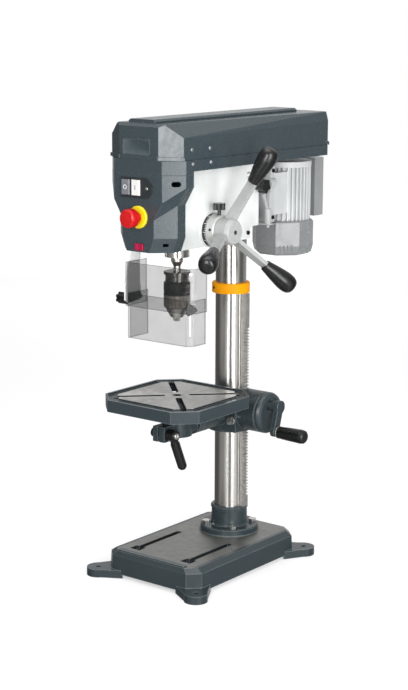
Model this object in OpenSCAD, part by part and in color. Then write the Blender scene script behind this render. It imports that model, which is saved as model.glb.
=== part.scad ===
// Benchtop drill press. Millimetres, +Z up, operator in front at -Y, operator's right hand at +X.
// The origin is the centre of the four foot holes, level with the bench.

/* [Base] */
// Spacing of the foot holes across the base
foot_pitch_x = 280; // [270:1:300]
// Spacing of the foot holes from front to back
foot_pitch_y = 406; // [396:1:420]
// Diameter of a foot hole
foot_hole_d = 13; // [10:0.5:16]
// Outer radius of a foot
foot_r = 26; // [20:1:28]
// Thickness of a foot
foot_t = 18; // [14:1:24]
// Height of the machined top above the bench
base_h = 60; // [52:1:68]
// Thickness of the base top
base_top = 14; // [10:1:18]
// Wall thickness of the base skirt
base_wall = 9; // [6:1:12]
// Air gap between the skirt and the bench
skirt_gap = 9; // [6:1:12]
// Inward slope of the shoulder under the machined top
base_draft = 8; // [4:1:10]
// Width of the two clamping slots
base_slot_w = 14; // [10:1:18]
// Spacing of the two clamping slots
base_slot_pitch = 145; // [130:1:160]
// Length of the two clamping slots
base_slot_l = 163; // [140:1:170]

/* [Column] */
// Column diameter
column_d = 70; // [66:1:72]
// Column wall thickness
column_wall = 6; // [4:0.5:9]
// Distance from the rear foot holes forward to the column axis
col_setback = 103; // [98:1:110]
// Distance between the column axis and the spindle axis
throat = 195; // [188:1:204]
// Flange diameter
flange_d = 134; // [130:1:140]
// Flange thickness
flange_t = 13; // [10:1:18]
// Height of the flange and its hub together
flange_hub_h = 60; // [50:1:64]
// Diameter of the flange hub
flange_hub_d = 86; // [82:1:90]
// Bolt circle of the flange
flange_pcd = 109; // [108:1:112]
// How far the rack stands out from the column
rack_stand = 12; // [11:0.5:13]
// Width of the rack
rack_w = 16; // [13:1:18]
// Height of the underside of the rack collar
collar_z = 622; // [600:1:640]
// Height of the rack collar
collar_h = 23; // [16:1:30]

/* [Table] */
// Height of the table top
table_z = 416; // [400:1:430]
// Width of the square table
table_w = 264; // [250:0.2:268]
// Cut of the table corners
table_corner = 43.6; // [36:0.2:48]
// Height of the table rim
table_rim_h = 27; // [24:1:28]
// Thickness of the table plate
table_plate = 14; // [11:1:16]
// Width of the table slots
table_slot_w = 14; // [10:1:18]
// Diameter of the hole in the middle of the table
table_hole_d = 20; // [14:1:26]
// Depth of the drain gutter
gutter_d = 4; // [2:0.5:6]
// Diameter of the table stub
stub_d = 44; // [38:1:48]
// Module of the table rack and gear
lift_m = 2.25; // [2:0.05:2.35]
// Swing of the crank grip round its shaft
crank_r = 56; // [48:1:62]
// Length of the crank grip
crank_grip_l = 75; // [60:1:85]

/* [Head] */
// Height of the underside of the head
head_z = 750; // [735:1:770]
// Height of the head casting
head_h = 171; // [166:1:180]
// Width of the head casting
head_w = 124; // [122:1:128]
// Wall thickness of the head casting
head_wall = 9; // [7:0.5:11]
// Wall thickness of the plastic covers
cover_wall = 3.5; // [2.5:0.5:4.5]
// Width of the belt tray and of the front cover at the top
tray_w = 202; // [198:1:210]
// Width of the front cover at the bottom
cover_low_w = 157; // [150:1:165]
// Depth of the front cover
cover_depth = 62; // [58:1:68]
// Height of the belt tray
tray_h = 23; // [22:1:27]
// Height of the lid without its ridge
lid_h = 75; // [73:1:80]

/* [Quill and chuck] */
// Quill diameter
quill_d = 54; // [52:0.5:56]
// Stroke of the quill
quill_stroke = 80; // [60:1:82]
// Module of the quill rack and pinion
feed_m = 2; // [1.9:0.05:2.05]
// Chuck diameter
chuck_d = 58.6; // [58:0.2:62]
// Largest shank the chuck takes
chuck_max = 12; // [8:0.5:12.5]

/* [Feed] */
// Diameter of the depth scale ring
scale_d = 73; // [71:1:76]
// Width of a feed spoke inside its grip
spoke_w = 20; // [16:0.5:21]
// Thickness of a feed spoke
spoke_t = 9; // [7:0.5:11]
// Reach of a feed spoke from the hub axis to its grip
spoke_r = 109; // [95:1:118]
// Length of a feed grip along its spoke
grip_l = 84; // [70:1:95]
// Diameter of a feed grip
grip_d = 40; // [34:0.5:42]

/* [Motor] */
// Distance from the column axis to the motor axis
motor_back = 200; // [196:1:206]
// Diameter over the motor fins
motor_d = 128; // [122:1:132]
// Number of motor fins
motor_fins = 36; // [24:2:40]
// Travel of the motor toward the head for slackening the belt
motor_travel = 12; // [6:1:13]
// Width of the capacitor box
capacitor_w = 80; // [70:1:90]

/* [Guard] */
// Width over the upper guard panel
guard_w = 182; // [178:1:188]
// Height of a guard panel
guard_h = 97; // [90:1:100]
// Thickness of the guard panels
guard_t = 3; // [2:0.5:3.5]
// Lift of the lower guard panel
guard_lift = 58; // [40:1:60]

/* [Controls] */
// Diameter of the emergency-stop mushroom
estop_d = 40; // [34:1:44]
// Width of a push button
button_w = 22; // [18:0.5:22.5]
// Height of a push button
button_h = 32; // [26:1:34]
// Width of the rocker switch
rocker_w = 22; // [18:1:26]

/* [Hidden] */
$fn = 64;
run = 0.05;
far = 400;
gap = 0.3;
tan20 = tan(20);
pad_h = 2;
col_y = foot_pitch_y / 2 - col_setback;
col_r = column_d / 2;
sp_y = col_y - throat;
base_w = foot_pitch_x - 16;
base_l = foot_pitch_y - 14;
base_corner = 26;
base_shoulder = 10;
base_side = 8;
base_lean = 2;
foot_flare = 14;
foot_web = 52;
base_lip_w = 12;
base_lip_h = 4;
base_rib = 8;
slot_front = -base_l / 2 + 40;
flange_z = base_h + pad_h;
hub_top = flange_z + flange_hub_h;
bolt_r = 4.9;
hex_r = 9.8;
hex_h = 7;
rack_x0 = col_r + gap;
rack_x1 = rack_x0 + rack_stand;
rack_z0 = hub_top + gap;
rack_z1 = collar_z - gap;
rack_end = 22;
rack_plain = 75;
lift_pitch = PI * lift_m;
lift_n = 20;
lift_r = lift_n * lift_m / 2;
lift_add = 0.9;
lift_ded = 1.15;
lift_slack = 0.5;
gear_w = 12;
axle_r = 6;
gear_x = rack_x1 - lift_add * lift_m + lift_r;
gear_z = table_z - 78;
worm_r = 12;
worm_tip = worm_r + 2;
worm_root = worm_r - 2.6;
worm_thick = 2.2;
worm_l = 26;
worm_z = gear_z + lift_r + worm_r;
journal_r = worm_tip + 0.9;
housing_x1 = gear_x + 49;
housing_r = 47;
housing_z = gear_z + 16.5;
housing_z1 = housing_z + housing_r;
housing_x0 = col_r + 9;
axle_hl = 32;
bracket_bolt_x = col_r + 7;
bracket_bolt_z = gear_z - 2;
bracket_front = col_y - 50;
clamp_wall = 17;
tilt_z = table_z - 64;
tilt_r = 34;
tilt_y = sp_y + 57;
stud_r = 8;
socket_r = stub_d / 2 + 12;
support_top = table_z - 32;
ear_y = sp_y - 50;
ear_w = 16;
ear_z = table_z - 78;
lever_r = 10.5;
lever_l = 82;
lever_lean = 204.2;
crank_x = housing_x1 + 2;
arm_x1 = crank_x + 25;
crank_pin = 5;
crank_tilt = -17;
rim_w = 5;
gutter_w = 21;
head_top = head_z + head_h;
head_front = sp_y - 69;
head_side = col_y + 18;
head_back = col_y + 56;
head_back_hw = 34;
head_step = 27;
quill_r = quill_d / 2;
quill_nose = head_z - 25;
quill_top = head_top - 31;
rack_back = quill_r - 2;
feed_n = 13;
feed_r = feed_n * feed_m / 2;
feed_add = 0.9;
feed_ded = 0.95;
feed_rack_add = 0.7;
feed_rack_ded = 1.15;
feed_slack = 0.3;
feed_pitch = PI * feed_m;
feed_y = sp_y + rack_back + feed_r;
feed_z = head_z + 34.5;
feed_tip = feed_r + feed_add * feed_m;
feed_journal = feed_tip + 0.2;
boss_r = 38;
boss_t = 4;
boss_x = head_w / 2 + boss_t;
bearing_or = 30;
bearing_ir = 15;
bearing_z = head_top - 28;
spindle_r = 12.5;
spline_r = 9;
key_r = 11;
key_w = 3;
quill_bearing_r = 21;
arbor_r = 8;
chuck_r = chuck_d / 2;
chuck_top = quill_nose - 32;
chuck_low = chuck_top - 101;
core_r = chuck_r - 4.7;
sleeve_z0 = chuck_top - 79;
sleeve_z1 = chuck_top - 23;
jaw_r = 4.5;
jaw_tilt = 12;
jaw_out = 2.6;
jaw_l = 49;
jaw_tip = chuck_top - 111;
jaw_travel = chuck_max / 2 / sin(jaw_tilt);
tray_z = head_top;
tray_top = tray_z + tray_h;
tray_front = head_front - cover_depth;
motor_y = col_y + motor_back;
tray_back = motor_y + 68;
tray_cut = 36;
tray_t = 3;
lid_z = tray_top + gap;
lid_hw = tray_w / 2 - 3;
lid_front = tray_front + 3;
lid_back = tray_back - 3;
lid_top = lid_z + lid_h;
lid_cut_x = 45;
lid_cut_y = 28.5;
lid_t = 3;
lip_h = 7.5;
lip_w = 3.5;
ridge_hw = 36;
ridge_h = 8;
hinge_x = -tray_w / 2 - 6;
knuckle_r = 5;
pin_r = 3;
hinge_y1 = sp_y - 25;
hinge_y2 = motor_y - 50;
pulley_z = tray_z + 5;
step_h = 16;
belt_sum = 92;
spindle_steps = [58, 50, 42, 34];
groove_d = 8;
belt_step = 1;
belt_z = pulley_z + (belt_step + 0.5) * step_h;
belt_t = 4.5;
belt_w = 5;
shaft_r = 9.5;
cover_seam = head_top - 6.5 - gap;
cover_back = head_front - gap;
cover_cut = 35.5;
cover_shoulder = head_z + 138;
cover_corner = cover_shoulder - 30.5;
cover_drop = 38;
cover_taper = 31;
cover_tuck = 12;
vent_w = 20;
vent_h = 11;
vent_z = cover_seam - 18;
port_w = 12;
port_h = 7;
port_z = head_z + 16.5;
plate_x0 = -44;
plate_x1 = 40;
plate_tip = 14;
plate_z0 = head_top - 57;
plate_z1 = head_top - 15;
plate_t = 3;
button_z = (plate_z0 + plate_z1) / 2 + 1;
stop_x = -29.5;
start_x = -2;
button_out = 7;
estop_x = 2;
estop_z = head_top - 97;
estop_ring_r = estop_d / 2 + 4;
estop_stem = 11;
rocker_x = 4;
rocker_z = head_z + 11;
rocker_h = 14;
rocker_pin = 1.5;
rocker_axis = tray_front + 4;
rocker_room = 0.9;
hub_x0 = boss_x + 0.6;
scale_x0 = boss_x + 0.9;
scale_x1 = scale_x0 + 10;
collar_x1 = scale_x1 + 17;
hub_x1 = head_w / 2 + 67;
hub_r = 29;
hub_journal = 20;
feed_stub = 11;
spoke_x = head_w / 2 + 35;
spoke_tilt = atan(0.505);
spoke_in = 22;
spoke_flare = 6;
grip_in = 18;
grip_root = 12.5;
spokes = 3;
spoke_turn = 74.9;
knob_x = (scale_x1 + collar_x1) / 2;
knob_stem = 4;
cap_r = 36;
cap_l = 27;
bar_r = 8;
bar_x = head_w / 2 - 10;
bar_z = head_z + 116;
bar_in = col_y - 4;
bracket_y = motor_y - 130;
bracket_t = 14;
bracket_hw = 58;
bracket_z0 = head_z + 28;
bracket_z1 = head_top - 18;
motor_r = motor_d / 2;
motor_z0 = head_z + 20;
motor_z1 = head_top - 28;
motor_cap = 13;
motor_cap_r = motor_r + 1;
fan_r = motor_r + 9;
fan_z0 = head_z - 61;
cap_z0 = head_z + 22;
cap_z1 = head_top - 13;
lock_y = col_y + 12;
lever_x = head_w / 2 + 10;
lever_y = col_y + 40;
lever_z = head_z + 28;
guard_hw = guard_w / 2;
guard_front = sp_y - 66;
guard_cut = 15;
guard_z1 = head_z - 38;
guard_z0 = guard_z1 - guard_h;
low_hw = guard_hw - guard_t - 0.6;
low_front = guard_front + guard_t + 0.6;
low_z1 = guard_z0 + 28;
low_z0 = low_z1 - guard_h - 2;
post_x = -guard_hw - 10;
post_y = sp_y - 17;
post_r = 5;
arm_x = -guard_hw - gap;
arm_t = 3;
wing_z = guard_z0 + 11;
wing_stud = 3;
guard_knob_y = sp_y - 55;
guard_knob_z = guard_z0 + 14;

// Cylinder along X between two X positions
module xcyl(r, x0, x1) {
    translate([x0, 0, 0])
        rotate([0, 90, 0])
            cylinder(r = r, h = x1 - x0);
}

// Cylinder along Y between two Y positions
module ycyl(r, y0, y1) {
    translate([0, y0, 0])
        rotate([-90, 0, 0])
            cylinder(r = r, h = y1 - y0);
}

// Box between two corners
module box(a, b) {
    translate(a)
        cube(b - a);
}

// Flat shape with cut corners, from y0 to y1, moved inward by d
module cut_plan(hw, y0, y1, cx, cy, d = 0) {
    k = 0.586 * d;
    polygon([[hw - d, y0 + cy + d - k], [hw - d, y1 - cy - d + k], [hw - cx - d + k, y1 - d],
        [-hw + cx + d - k, y1 - d], [-hw + d, y1 - cy - d + k], [-hw + d, y0 + cy + d - k],
        [-hw + cx + d - k, y0 + d], [hw - cx - d + k, y0 + d]]);
}

// Involute angle in degrees at radius r on base circle rb
function involute(r, rb) = tan(acos(min(1, rb / r))) * 180 / PI - acos(min(1, rb / r));

// Half angle of a tooth at radius r
function half_tooth(r, n, rp, rb, slack) =
    90 / n - slack / 2 / rp * 180 / PI + involute(rp, rb) - involute(max(r, rb), rb);

// Outline of a spur gear, with a tooth on the first axis
function gear_outline(n, m, add, ded, slack) =
    let (rp = n * m / 2, rb = rp * cos(20), root = rp - ded * m, tip = rp + add * m, low = max(rb, root))
    let (rs = [for (k = [0:4]) low + (tip - low) * k / 4])
    [for (i = [0:n - 1]) each concat(
        [root * [cos(i * 360 / n - half_tooth(low, n, rp, rb, slack)),
            sin(i * 360 / n - half_tooth(low, n, rp, rb, slack))]],
        [for (r = rs) r * [cos(i * 360 / n - half_tooth(r, n, rp, rb, slack)),
            sin(i * 360 / n - half_tooth(r, n, rp, rb, slack))]],
        [for (k = [4:-1:0]) rs[k] * [cos(i * 360 / n + half_tooth(rs[k], n, rp, rb, slack)),
            sin(i * 360 / n + half_tooth(rs[k], n, rp, rb, slack))]],
        [root * [cos(i * 360 / n + half_tooth(low, n, rp, rb, slack)),
            sin(i * 360 / n + half_tooth(low, n, rp, rb, slack))]])];

// Star knob of height h along +Z with round lobes
module star_knob(r, h, lobes) {
    cylinder(r = r * 0.72, h = h);
    for (i = [0:lobes - 1])
        rotate(i * 360 / lobes)
            translate([r * 0.68, 0, 0])
                cylinder(r = r * 0.32, h = h);
}

// Slice of the base block at height z, moved inward by d and narrowed by side
module base_slice(z, d, side) {
    translate([0, 0, z])
        linear_extrude(1)
            cut_plan(base_w / 2 - side, -base_l / 2, base_l / 2, base_corner, base_corner, d);
}

// Block of the base with upright walls and a sloped shoulder, moved inward by d
module base_form(d, z0, z1, side) {
    hull() {
        base_slice(z0, d, 0);
        base_slice(z1 - base_shoulder - 1, d + base_lean, 0);
        base_slice(z1 - 1, d + base_draft, side);
    }
}

// One foot with its web flaring in under the corner
module foot(sx, sy) {
    root = foot_r * 0.96;
    translate([sx * foot_pitch_x / 2, sy * foot_pitch_y / 2, 0])
        linear_extrude(foot_t)
            union() {
                circle(r = foot_r);
                rotate(atan2(-sy, -sx))
                    polygon([[0, -root], [foot_web, -root - foot_flare], [foot_web, root + foot_flare],
                        [0, root]]);
            }
}

// T-slot through the base top with its entry pocket
module base_slot(x) {
    neck = 8;
    foot_w = base_slot_w + 10;
    translate([x, slot_front, 0]) {
        box([-base_slot_w / 2, 0, base_h - base_top - 1], [base_slot_w / 2, base_slot_l, base_h + 5]);
        box([-foot_w / 2, 0, base_h - base_top - 1], [foot_w / 2, base_slot_l, base_h - neck]);
        box([-foot_w / 2 - 2, 0, base_h - base_top - 1], [foot_w / 2 + 2, foot_w, base_h + 5]);
    }
}

module base_plate() {
    rib_x = base_w / 2 - base_lean - base_wall / 2;
    rib_y = base_l / 2 - base_lean - base_wall / 2;
    lip_x = base_w / 2 - base_side - base_corner - base_draft / 2;
    lip_y = -base_l / 2 + base_draft;
    color("dimgray")
    difference() {
        union() {
            difference() {
                base_form(0, skirt_gap, base_h, base_side);
                base_form(base_wall, skirt_gap - 2, base_h - base_top, 0);
            }
            for (x = [-36, 36])
                box([x - base_rib / 2, -rib_y, skirt_gap + 6],
                    [x + base_rib / 2, rib_y, base_h - base_top + 1]);
            for (y = [col_y - 60, col_y + 60])
                box([-rib_x, y - base_rib / 2, skirt_gap + 6],
                    [rib_x, y + base_rib / 2, base_h - base_top + 1]);
            for (sx = [-1, 1])
                for (sy = [-1, 1])
                    foot(sx, sy);
            box([-lip_x, lip_y, base_h - 1], [lip_x, lip_y + base_lip_w, base_h + base_lip_h]);
            translate([0, col_y, base_h - 1])
                cylinder(r = flange_d / 2 + 3, h = pad_h + 1);
        }
        for (sx = [-1, 1])
            for (sy = [-1, 1])
                translate([sx * foot_pitch_x / 2, sy * foot_pitch_y / 2, -1])
                    cylinder(d = foot_hole_d, h = foot_t + 2);
        for (s = [-1, 1])
            base_slot(s * base_slot_pitch / 2);
        flange_bolt_places()
            translate([0, 0, base_h - base_top - 1])
                cylinder(r = bolt_r + run, h = base_top + pad_h + 2);
    }
}

// Places its child on the four flange bolts
module flange_bolt_places() {
    for (a = [45:90:315])
        translate([flange_pcd / 2 * cos(a), col_y + flange_pcd / 2 * sin(a), 0])
            children();
}

module column_flange() {
    color("dimgray")
    difference() {
        translate([0, col_y, flange_z])
            rotate_extrude()
                polygon([[col_r + run, 0], [flange_d / 2, 0], [flange_d / 2, flange_t - 2],
                    [flange_d / 2 - 2, flange_t], [flange_hub_d / 2 + 1, flange_t],
                    [flange_hub_d / 2 - 1, flange_t + 4], [flange_hub_d / 2 - 2, flange_hub_h - 9],
                    [flange_hub_d / 2, flange_hub_h - 7], [flange_hub_d / 2, flange_hub_h - 3],
                    [flange_hub_d / 2 - 3, flange_hub_h], [col_r + run, flange_hub_h]]);
        flange_bolt_places()
            translate([0, 0, flange_z - 1])
                cylinder(r = bolt_r + 0.5, h = flange_t + 2);
    }
}

module flange_bolts() {
    color("silver")
    flange_bolt_places() {
        translate([0, 0, base_h - base_top + 2])
            cylinder(r = bolt_r, h = flange_t + base_top);
        translate([0, 0, flange_z + flange_t])
            cylinder(r = hex_r, h = hex_h, $fn = 6);
    }
}

module column_tube() {
    color("lightgray")
    translate([0, col_y, flange_z])
        difference() {
            cylinder(r = col_r, h = head_top - 16 - flange_z);
            translate([0, 0, -1])
                cylinder(r = col_r - column_wall, h = head_top - flange_z);
        }
}

module rack_collar() {
    color("orange")
    translate([0, col_y, collar_z])
        rotate_extrude()
            polygon([[col_r + run, 0], [col_r + 8, 0], [col_r + 8, collar_h - 2],
                [col_r + 6, collar_h], [col_r + run, collar_h]]);
}

// Side outline of the rack, teeth in step with the gear at rest
function rack_outline() =
    let (xr = rack_x1 - (lift_add + lift_ded) * lift_m, half = lift_pitch / 4 + lift_slack / 4)
    let (b = half + lift_add * lift_m * tan20, a = half - lift_ded * lift_m * tan20)
    let (i0 = ceil((rack_z0 + rack_end - gear_z) / lift_pitch))
    let (i1 = floor((rack_z1 - rack_plain - gear_z) / lift_pitch))
    concat([[rack_x0, rack_z0], [rack_x1, rack_z0]],
        [for (i = [i0:i1 - 1]) let (c = gear_z + (i + 0.5) * lift_pitch)
            each [[rack_x1, c - b], [xr, c - a], [xr, c + a], [rack_x1, c + b]]],
        [[rack_x1, rack_z1], [rack_x0, rack_z1]]);

module column_rack() {
    color("slategray")
    translate([0, col_y + rack_w / 2, 0])
        rotate([90, 0, 0])
            linear_extrude(rack_w)
                polygon(rack_outline());
}

// Outside of the round gear housing with its end cap, along X
module housing_form() {
    l = housing_x1 - housing_x0;
    r = housing_r;
    translate([housing_x0, col_y, housing_z])
        rotate([0, 90, 0])
            rotate_extrude()
                polygon([[0, 0], [r, 0], [r, l - 17], [r - 2, l - 16], [r - 2, l - 14], [r, l - 13],
                    [r, l - 8], [r - 2.5, l - 3], [r - 8, l], [0, l]]);
}

module table_bracket() {
    clamp_r = col_r + clamp_wall;
    clamp_z0 = gear_z - 2 * clamp_wall;
    clamp_z1 = support_top;
    color("dimgray")
    difference() {
        union() {
            translate([0, col_y, clamp_z0])
                cylinder(r = clamp_r, h = clamp_z1 - clamp_z0);
            box([-col_r - 10, bracket_front, clamp_z0 + 4], [col_r + 18, col_y, clamp_z1]);
            housing_form();
            translate([0, 0, tilt_z])
                ycyl(tilt_r, tilt_y, col_y - 40);
        }
        translate([0, col_y, clamp_z0 - 1])
            cylinder(r = col_r + run, h = clamp_z1 - clamp_z0 + 2);
        box([0, col_y - rack_w / 2 - gap, clamp_z0 - 1],
            [rack_x1 + 1, col_y + rack_w / 2 + gap, housing_z1 + 1]);
        box([0, col_y - col_r - run, clamp_z1], [col_r + 2, col_y + col_r + run, housing_z1 + 1]);
        translate([gear_x, 0, gear_z])
            ycyl(lift_r + lift_add * lift_m + 1.5, col_y - gear_w / 2 - 0.5, col_y + gear_w / 2 + 0.5);
        translate([gear_x, 0, gear_z])
            ycyl(axle_r + run, col_y - axle_hl - 1, col_y + housing_r + 1);
        translate([0, col_y, worm_z]) {
            xcyl(journal_r + run, gear_x - worm_l / 2 - 1.3, housing_x1 + 1);
            xcyl(axle_r + run, rack_x1, gear_x);
        }
        translate([0, 0, tilt_z])
            ycyl(stud_r + run, tilt_y - 1, tilt_y + 40);
        box([-18, tilt_y + 32, tilt_z - tilt_r - 1], [18, col_y - 55, tilt_z + 18]);
        translate([bracket_bolt_x, 0, bracket_bolt_z])
            ycyl(bolt_r + gap, bracket_front - 1, col_y);
    }
}

module bracket_bolt() {
    color("silver")
    translate([bracket_bolt_x, 0, bracket_bolt_z]) {
        ycyl(bolt_r, bracket_front - 1, col_y - clamp_wall - 1);
        ycyl(hex_r + 0.4, bracket_front - 2, bracket_front);
        translate([0, bracket_front - 2, 0])
            rotate([90, 0, 0])
                cylinder(r = hex_r, h = hex_h, $fn = 6);
    }
}

module lift_gear() {
    color("slategray")
    translate([gear_x, col_y, gear_z]) {
        translate([0, gear_w / 2, 0])
            rotate([90, 0, 0])
                linear_extrude(gear_w)
                    rotate(180 / lift_n)
                        polygon(gear_outline(lift_n, lift_m, lift_add, lift_ded, lift_slack));
        ycyl(axle_r, -axle_hl, axle_hl);
    }
}

// Cross-section of the single-start worm, thread on the first axis
function worm_outline() =
    let (ta = 360 * (worm_thick / 2 - (worm_tip - worm_r) * tan20) / lift_pitch)
    let (ra = 360 * (worm_thick / 2 + (worm_r - worm_root) * tan20) / lift_pitch)
    concat([for (k = [-1:1]) worm_tip * [cos(k * ta), sin(k * ta)]],
        [for (k = [1:4]) (worm_tip + (worm_root - worm_tip) * k / 4)
            * [cos(ta + (ra - ta) * k / 4), sin(ta + (ra - ta) * k / 4)]],
        [for (k = [1:5]) worm_root * [cos(ra + (360 - 2 * ra) * k / 6), sin(ra + (360 - 2 * ra) * k / 6)]],
        [for (k = [4:-1:1]) (worm_tip + (worm_root - worm_tip) * k / 4)
            * [cos(-ta - (ra - ta) * k / 4), sin(-ta - (ra - ta) * k / 4)]]);

module worm_shaft() {
    x0 = gear_x - worm_l / 2;
    color("slategray")
    translate([0, col_y, worm_z]) {
        translate([x0, 0, 0])
            rotate([90, 0, 90])
                linear_extrude(worm_l, twist = -360 * worm_l / lift_pitch, slices = 60, $fn = 16)
                    rotate(-90 - 180 * worm_l / lift_pitch)
                        polygon(worm_outline());
        xcyl(axle_r, rack_x1 + 2, x0 + 1);
        xcyl(worm_root - 1, x0 + worm_l - 1, x0 + worm_l + 4);
        xcyl(journal_r, x0 + worm_l + 3, housing_x1 - 1);
        xcyl(stud_r, housing_x1 - 2, arm_x1 - 2);
    }
}

// Places its child on the crank grip axis
module crank_end() {
    translate([0, col_y, worm_z])
        rotate([crank_tilt, 0, 0])
            translate([0, 0, -crank_r])
                children();
}

module crank_arm() {
    arm_t = 10;
    color("dimgray")
    difference() {
        union() {
            translate([0, col_y, worm_z])
                xcyl(13, crank_x, arm_x1 - 1);
            translate([arm_x1 - arm_t, col_y, worm_z])
                rotate([crank_tilt, 0, 0])
                    rotate([90, 0, 90])
                        linear_extrude(arm_t)
                            union() {
                                circle(r = 15);
                                translate([-10, -crank_r])
                                    square([20, crank_r]);
                                translate([0, -crank_r])
                                    circle(r = 12);
                            }
            crank_end() {
                xcyl(10, arm_x1 - 1, arm_x1 + 3);
                xcyl(crank_pin, arm_x1 + 2, arm_x1 + crank_grip_l);
            }
        }
        translate([0, col_y, worm_z])
            xcyl(stud_r + run, crank_x - 1, arm_x1 - 2);
    }
}

module crank_grip() {
    l = crank_grip_l;
    color("black")
    crank_end()
        translate([arm_x1 + 3 + gap, 0, 0])
            rotate([0, 90, 0])
                rotate_extrude()
                    polygon([[crank_pin + run, 0], [12, 0], [13.5, 3], [15, l * 0.4], [16, l - 10],
                        [14.5, l - 3], [11, l], [0, l], [0, l - 2], [crank_pin + run, l - 2]]);
}

module table_support() {
    color("dimgray")
    difference() {
        union() {
            translate([0, 0, tilt_z]) {
                ycyl(tilt_r, tilt_y - 14, tilt_y - gap);
                ycyl(stud_r, tilt_y - 1, tilt_y + 48);
                translate([0, tilt_y + 32 + gap, 0])
                    rotate([-90, 0, 0])
                        cylinder(r = 14, h = 12, $fn = 6);
            }
            box([-24, sp_y, table_z - 84], [24, tilt_y - 6, support_top]);
            translate([0, sp_y, table_z - 90])
                cylinder(r = socket_r, h = support_top - table_z + 90);
            box([-ear_w, ear_y - 14, ear_z - 16], [ear_w, sp_y - 15, ear_z + 18]);
        }
        translate([0, sp_y, table_z - 91])
            cylinder(r = stub_d / 2 + run, h = support_top - table_z + 92);
        box([-2, ear_y - 15, table_z - 100], [2, sp_y, support_top + 1]);
        translate([0, ear_y, ear_z])
            xcyl(bolt_r + run, -ear_w - 1, ear_w + 1);
    }
}

// Eight-sided table outline moved inward by d
module table_plan(d) {
    translate([0, sp_y])
        cut_plan(table_w / 2, -table_w / 2, table_w / 2, table_corner, table_corner, d);
}

module table_top() {
    z0 = table_z - table_rim_h;
    slot_in = 32.5;
    slot_out = table_w * 0.509;
    color("dimgray")
    difference() {
        union() {
            difference() {
                translate([0, 0, z0])
                    linear_extrude(table_rim_h)
                        table_plan(0);
                translate([0, 0, z0 - 1])
                    linear_extrude(table_rim_h - table_plate + 1)
                        table_plan(9);
            }
            translate([0, sp_y, table_z - 90])
                cylinder(d = stub_d, h = 90 - table_plate + 1);
            for (a = [0, 90])
                translate([0, sp_y, 0])
                    rotate(a)
                        box([-table_w / 2 + 5, -4, z0 + 3],
                            [table_w / 2 - 5, 4, table_z - table_plate + 1]);
        }
        translate([0, 0, table_z - gutter_d])
            linear_extrude(gutter_d + 1)
                difference() {
                    table_plan(rim_w);
                    table_plan(rim_w + gutter_w);
                }
        translate([0, sp_y, table_z - 91])
            cylinder(d = table_hole_d, h = 92);
        for (a = [45:90:315])
            translate([0, sp_y, z0 - 1])
                rotate(a) {
                    box([slot_in, -table_slot_w / 2, 0], [slot_out, table_slot_w / 2, table_rim_h + 2]);
                    for (x = [slot_in, slot_out])
                        translate([x, 0, 0])
                            cylinder(d = table_slot_w, h = table_rim_h + 2);
                }
    }
}

module table_lever() {
    color("black")
    translate([0, ear_y, ear_z]) {
        xcyl(bolt_r, -ear_w - 2, ear_w + 4);
        xcyl(10, -ear_w - 10, -ear_w - gap);
        xcyl(13, ear_w + gap, ear_w + 22);
        translate([ear_w + 12, 0, 0])
            rotate([lever_lean, 0, 0]) {
                translate([0, 0, 6])
                    cylinder(r = lever_r - 1.5, h = lever_l - 6);
                translate([0, 0, 22])
                    cylinder(r = lever_r, h = lever_l - 22);
                translate([0, 0, lever_l])
                    sphere(r = lever_r);
            }
    }
}

// Plan of the head casting moved inward by d
module head_plan(d) {
    hw = head_w / 2;
    polygon([[-hw + d, head_front + d], [hw - d, head_front + d], [hw - d, head_side - d / 2],
        [head_back_hw - d / 2, head_back - d], [-head_back_hw + d / 2, head_back - d],
        [-hw + d, head_side - d / 2]]);
}

module head_casting() {
    color("whitesmoke")
    difference() {
        union() {
            difference() {
                translate([0, 0, head_z])
                    linear_extrude(head_h)
                        head_plan(0);
                translate([0, 0, head_z + head_step + head_wall])
                    linear_extrude(head_h)
                        head_plan(head_wall + 4);
            }
            translate([0, sp_y, head_z])
                cylinder(r = quill_r + 13, h = head_h);
            translate([0, col_y, head_z + head_step])
                cylinder(r = col_r + 12, h = head_h - head_step);
            translate([0, feed_y, feed_z]) {
                xcyl(boss_r, -boss_x, -head_w / 2 + 1);
                xcyl(boss_r, head_w / 2 - 1, boss_x);
                xcyl(feed_journal + 8, -head_w / 2, head_w / 2);
            }
            for (s = [-1, 1])
                translate([s * bar_x, 0, bar_z])
                    ycyl(bar_r + 2, bar_in - motor_travel - 6, head_side);
            box([head_back_hw - 4, lever_y - 12, lever_z - 9],
                [lever_x + 10, lever_y + 12, lever_z - gap]);
        }
        translate([-head_w, head_side - 30, head_z - 1])
            cube([2 * head_w, 100, head_step + 1]);
        translate([0, sp_y, head_z - 1])
            cylinder(r = quill_r + run, h = head_h + 2);
        translate([0, sp_y, bearing_z])
            cylinder(r = bearing_or + run, h = head_h);
        translate([0, col_y, head_z - 1])
            cylinder(r = col_r + run, h = head_h - 15);
        translate([0, feed_y, feed_z])
            xcyl(feed_journal + run, -boss_x - 1, boss_x + 1);
        for (s = [-1, 1])
            translate([s * bar_x, 0, bar_z])
                ycyl(bar_r + run, bar_in - motor_travel - 1, head_back + 1);
        translate([0, lock_y, bar_z])
            xcyl(4 + run, bar_x, head_w / 2 + 1);
        translate([lever_x, lever_y, lever_z - 10])
            cylinder(r = 4 + run, h = 20);
    }
}

// Everything on the far side of the plane through p with normal n
module beyond(p, n) {
    translate(p)
        rotate([0, acos(n[2] / norm(n)), atan2(n[1], n[0])])
            translate([-far / 2, -far / 2, 0])
                cube([far, far, far / 2]);
}

// Plan of the front cover with half width hw, moved inward by d
module cover_plan(hw, d) {
    k = 0.586 * d;
    polygon([[hw - d, cover_back - d], [-hw + d, cover_back - d],
        [-hw + d, tray_front + cover_cut + d - k],
        [-hw + cover_cut + d - k, tray_front + d], [hw - cover_cut - d + k, tray_front + d],
        [hw - d, tray_front + cover_cut + d - k]]);
}

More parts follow.
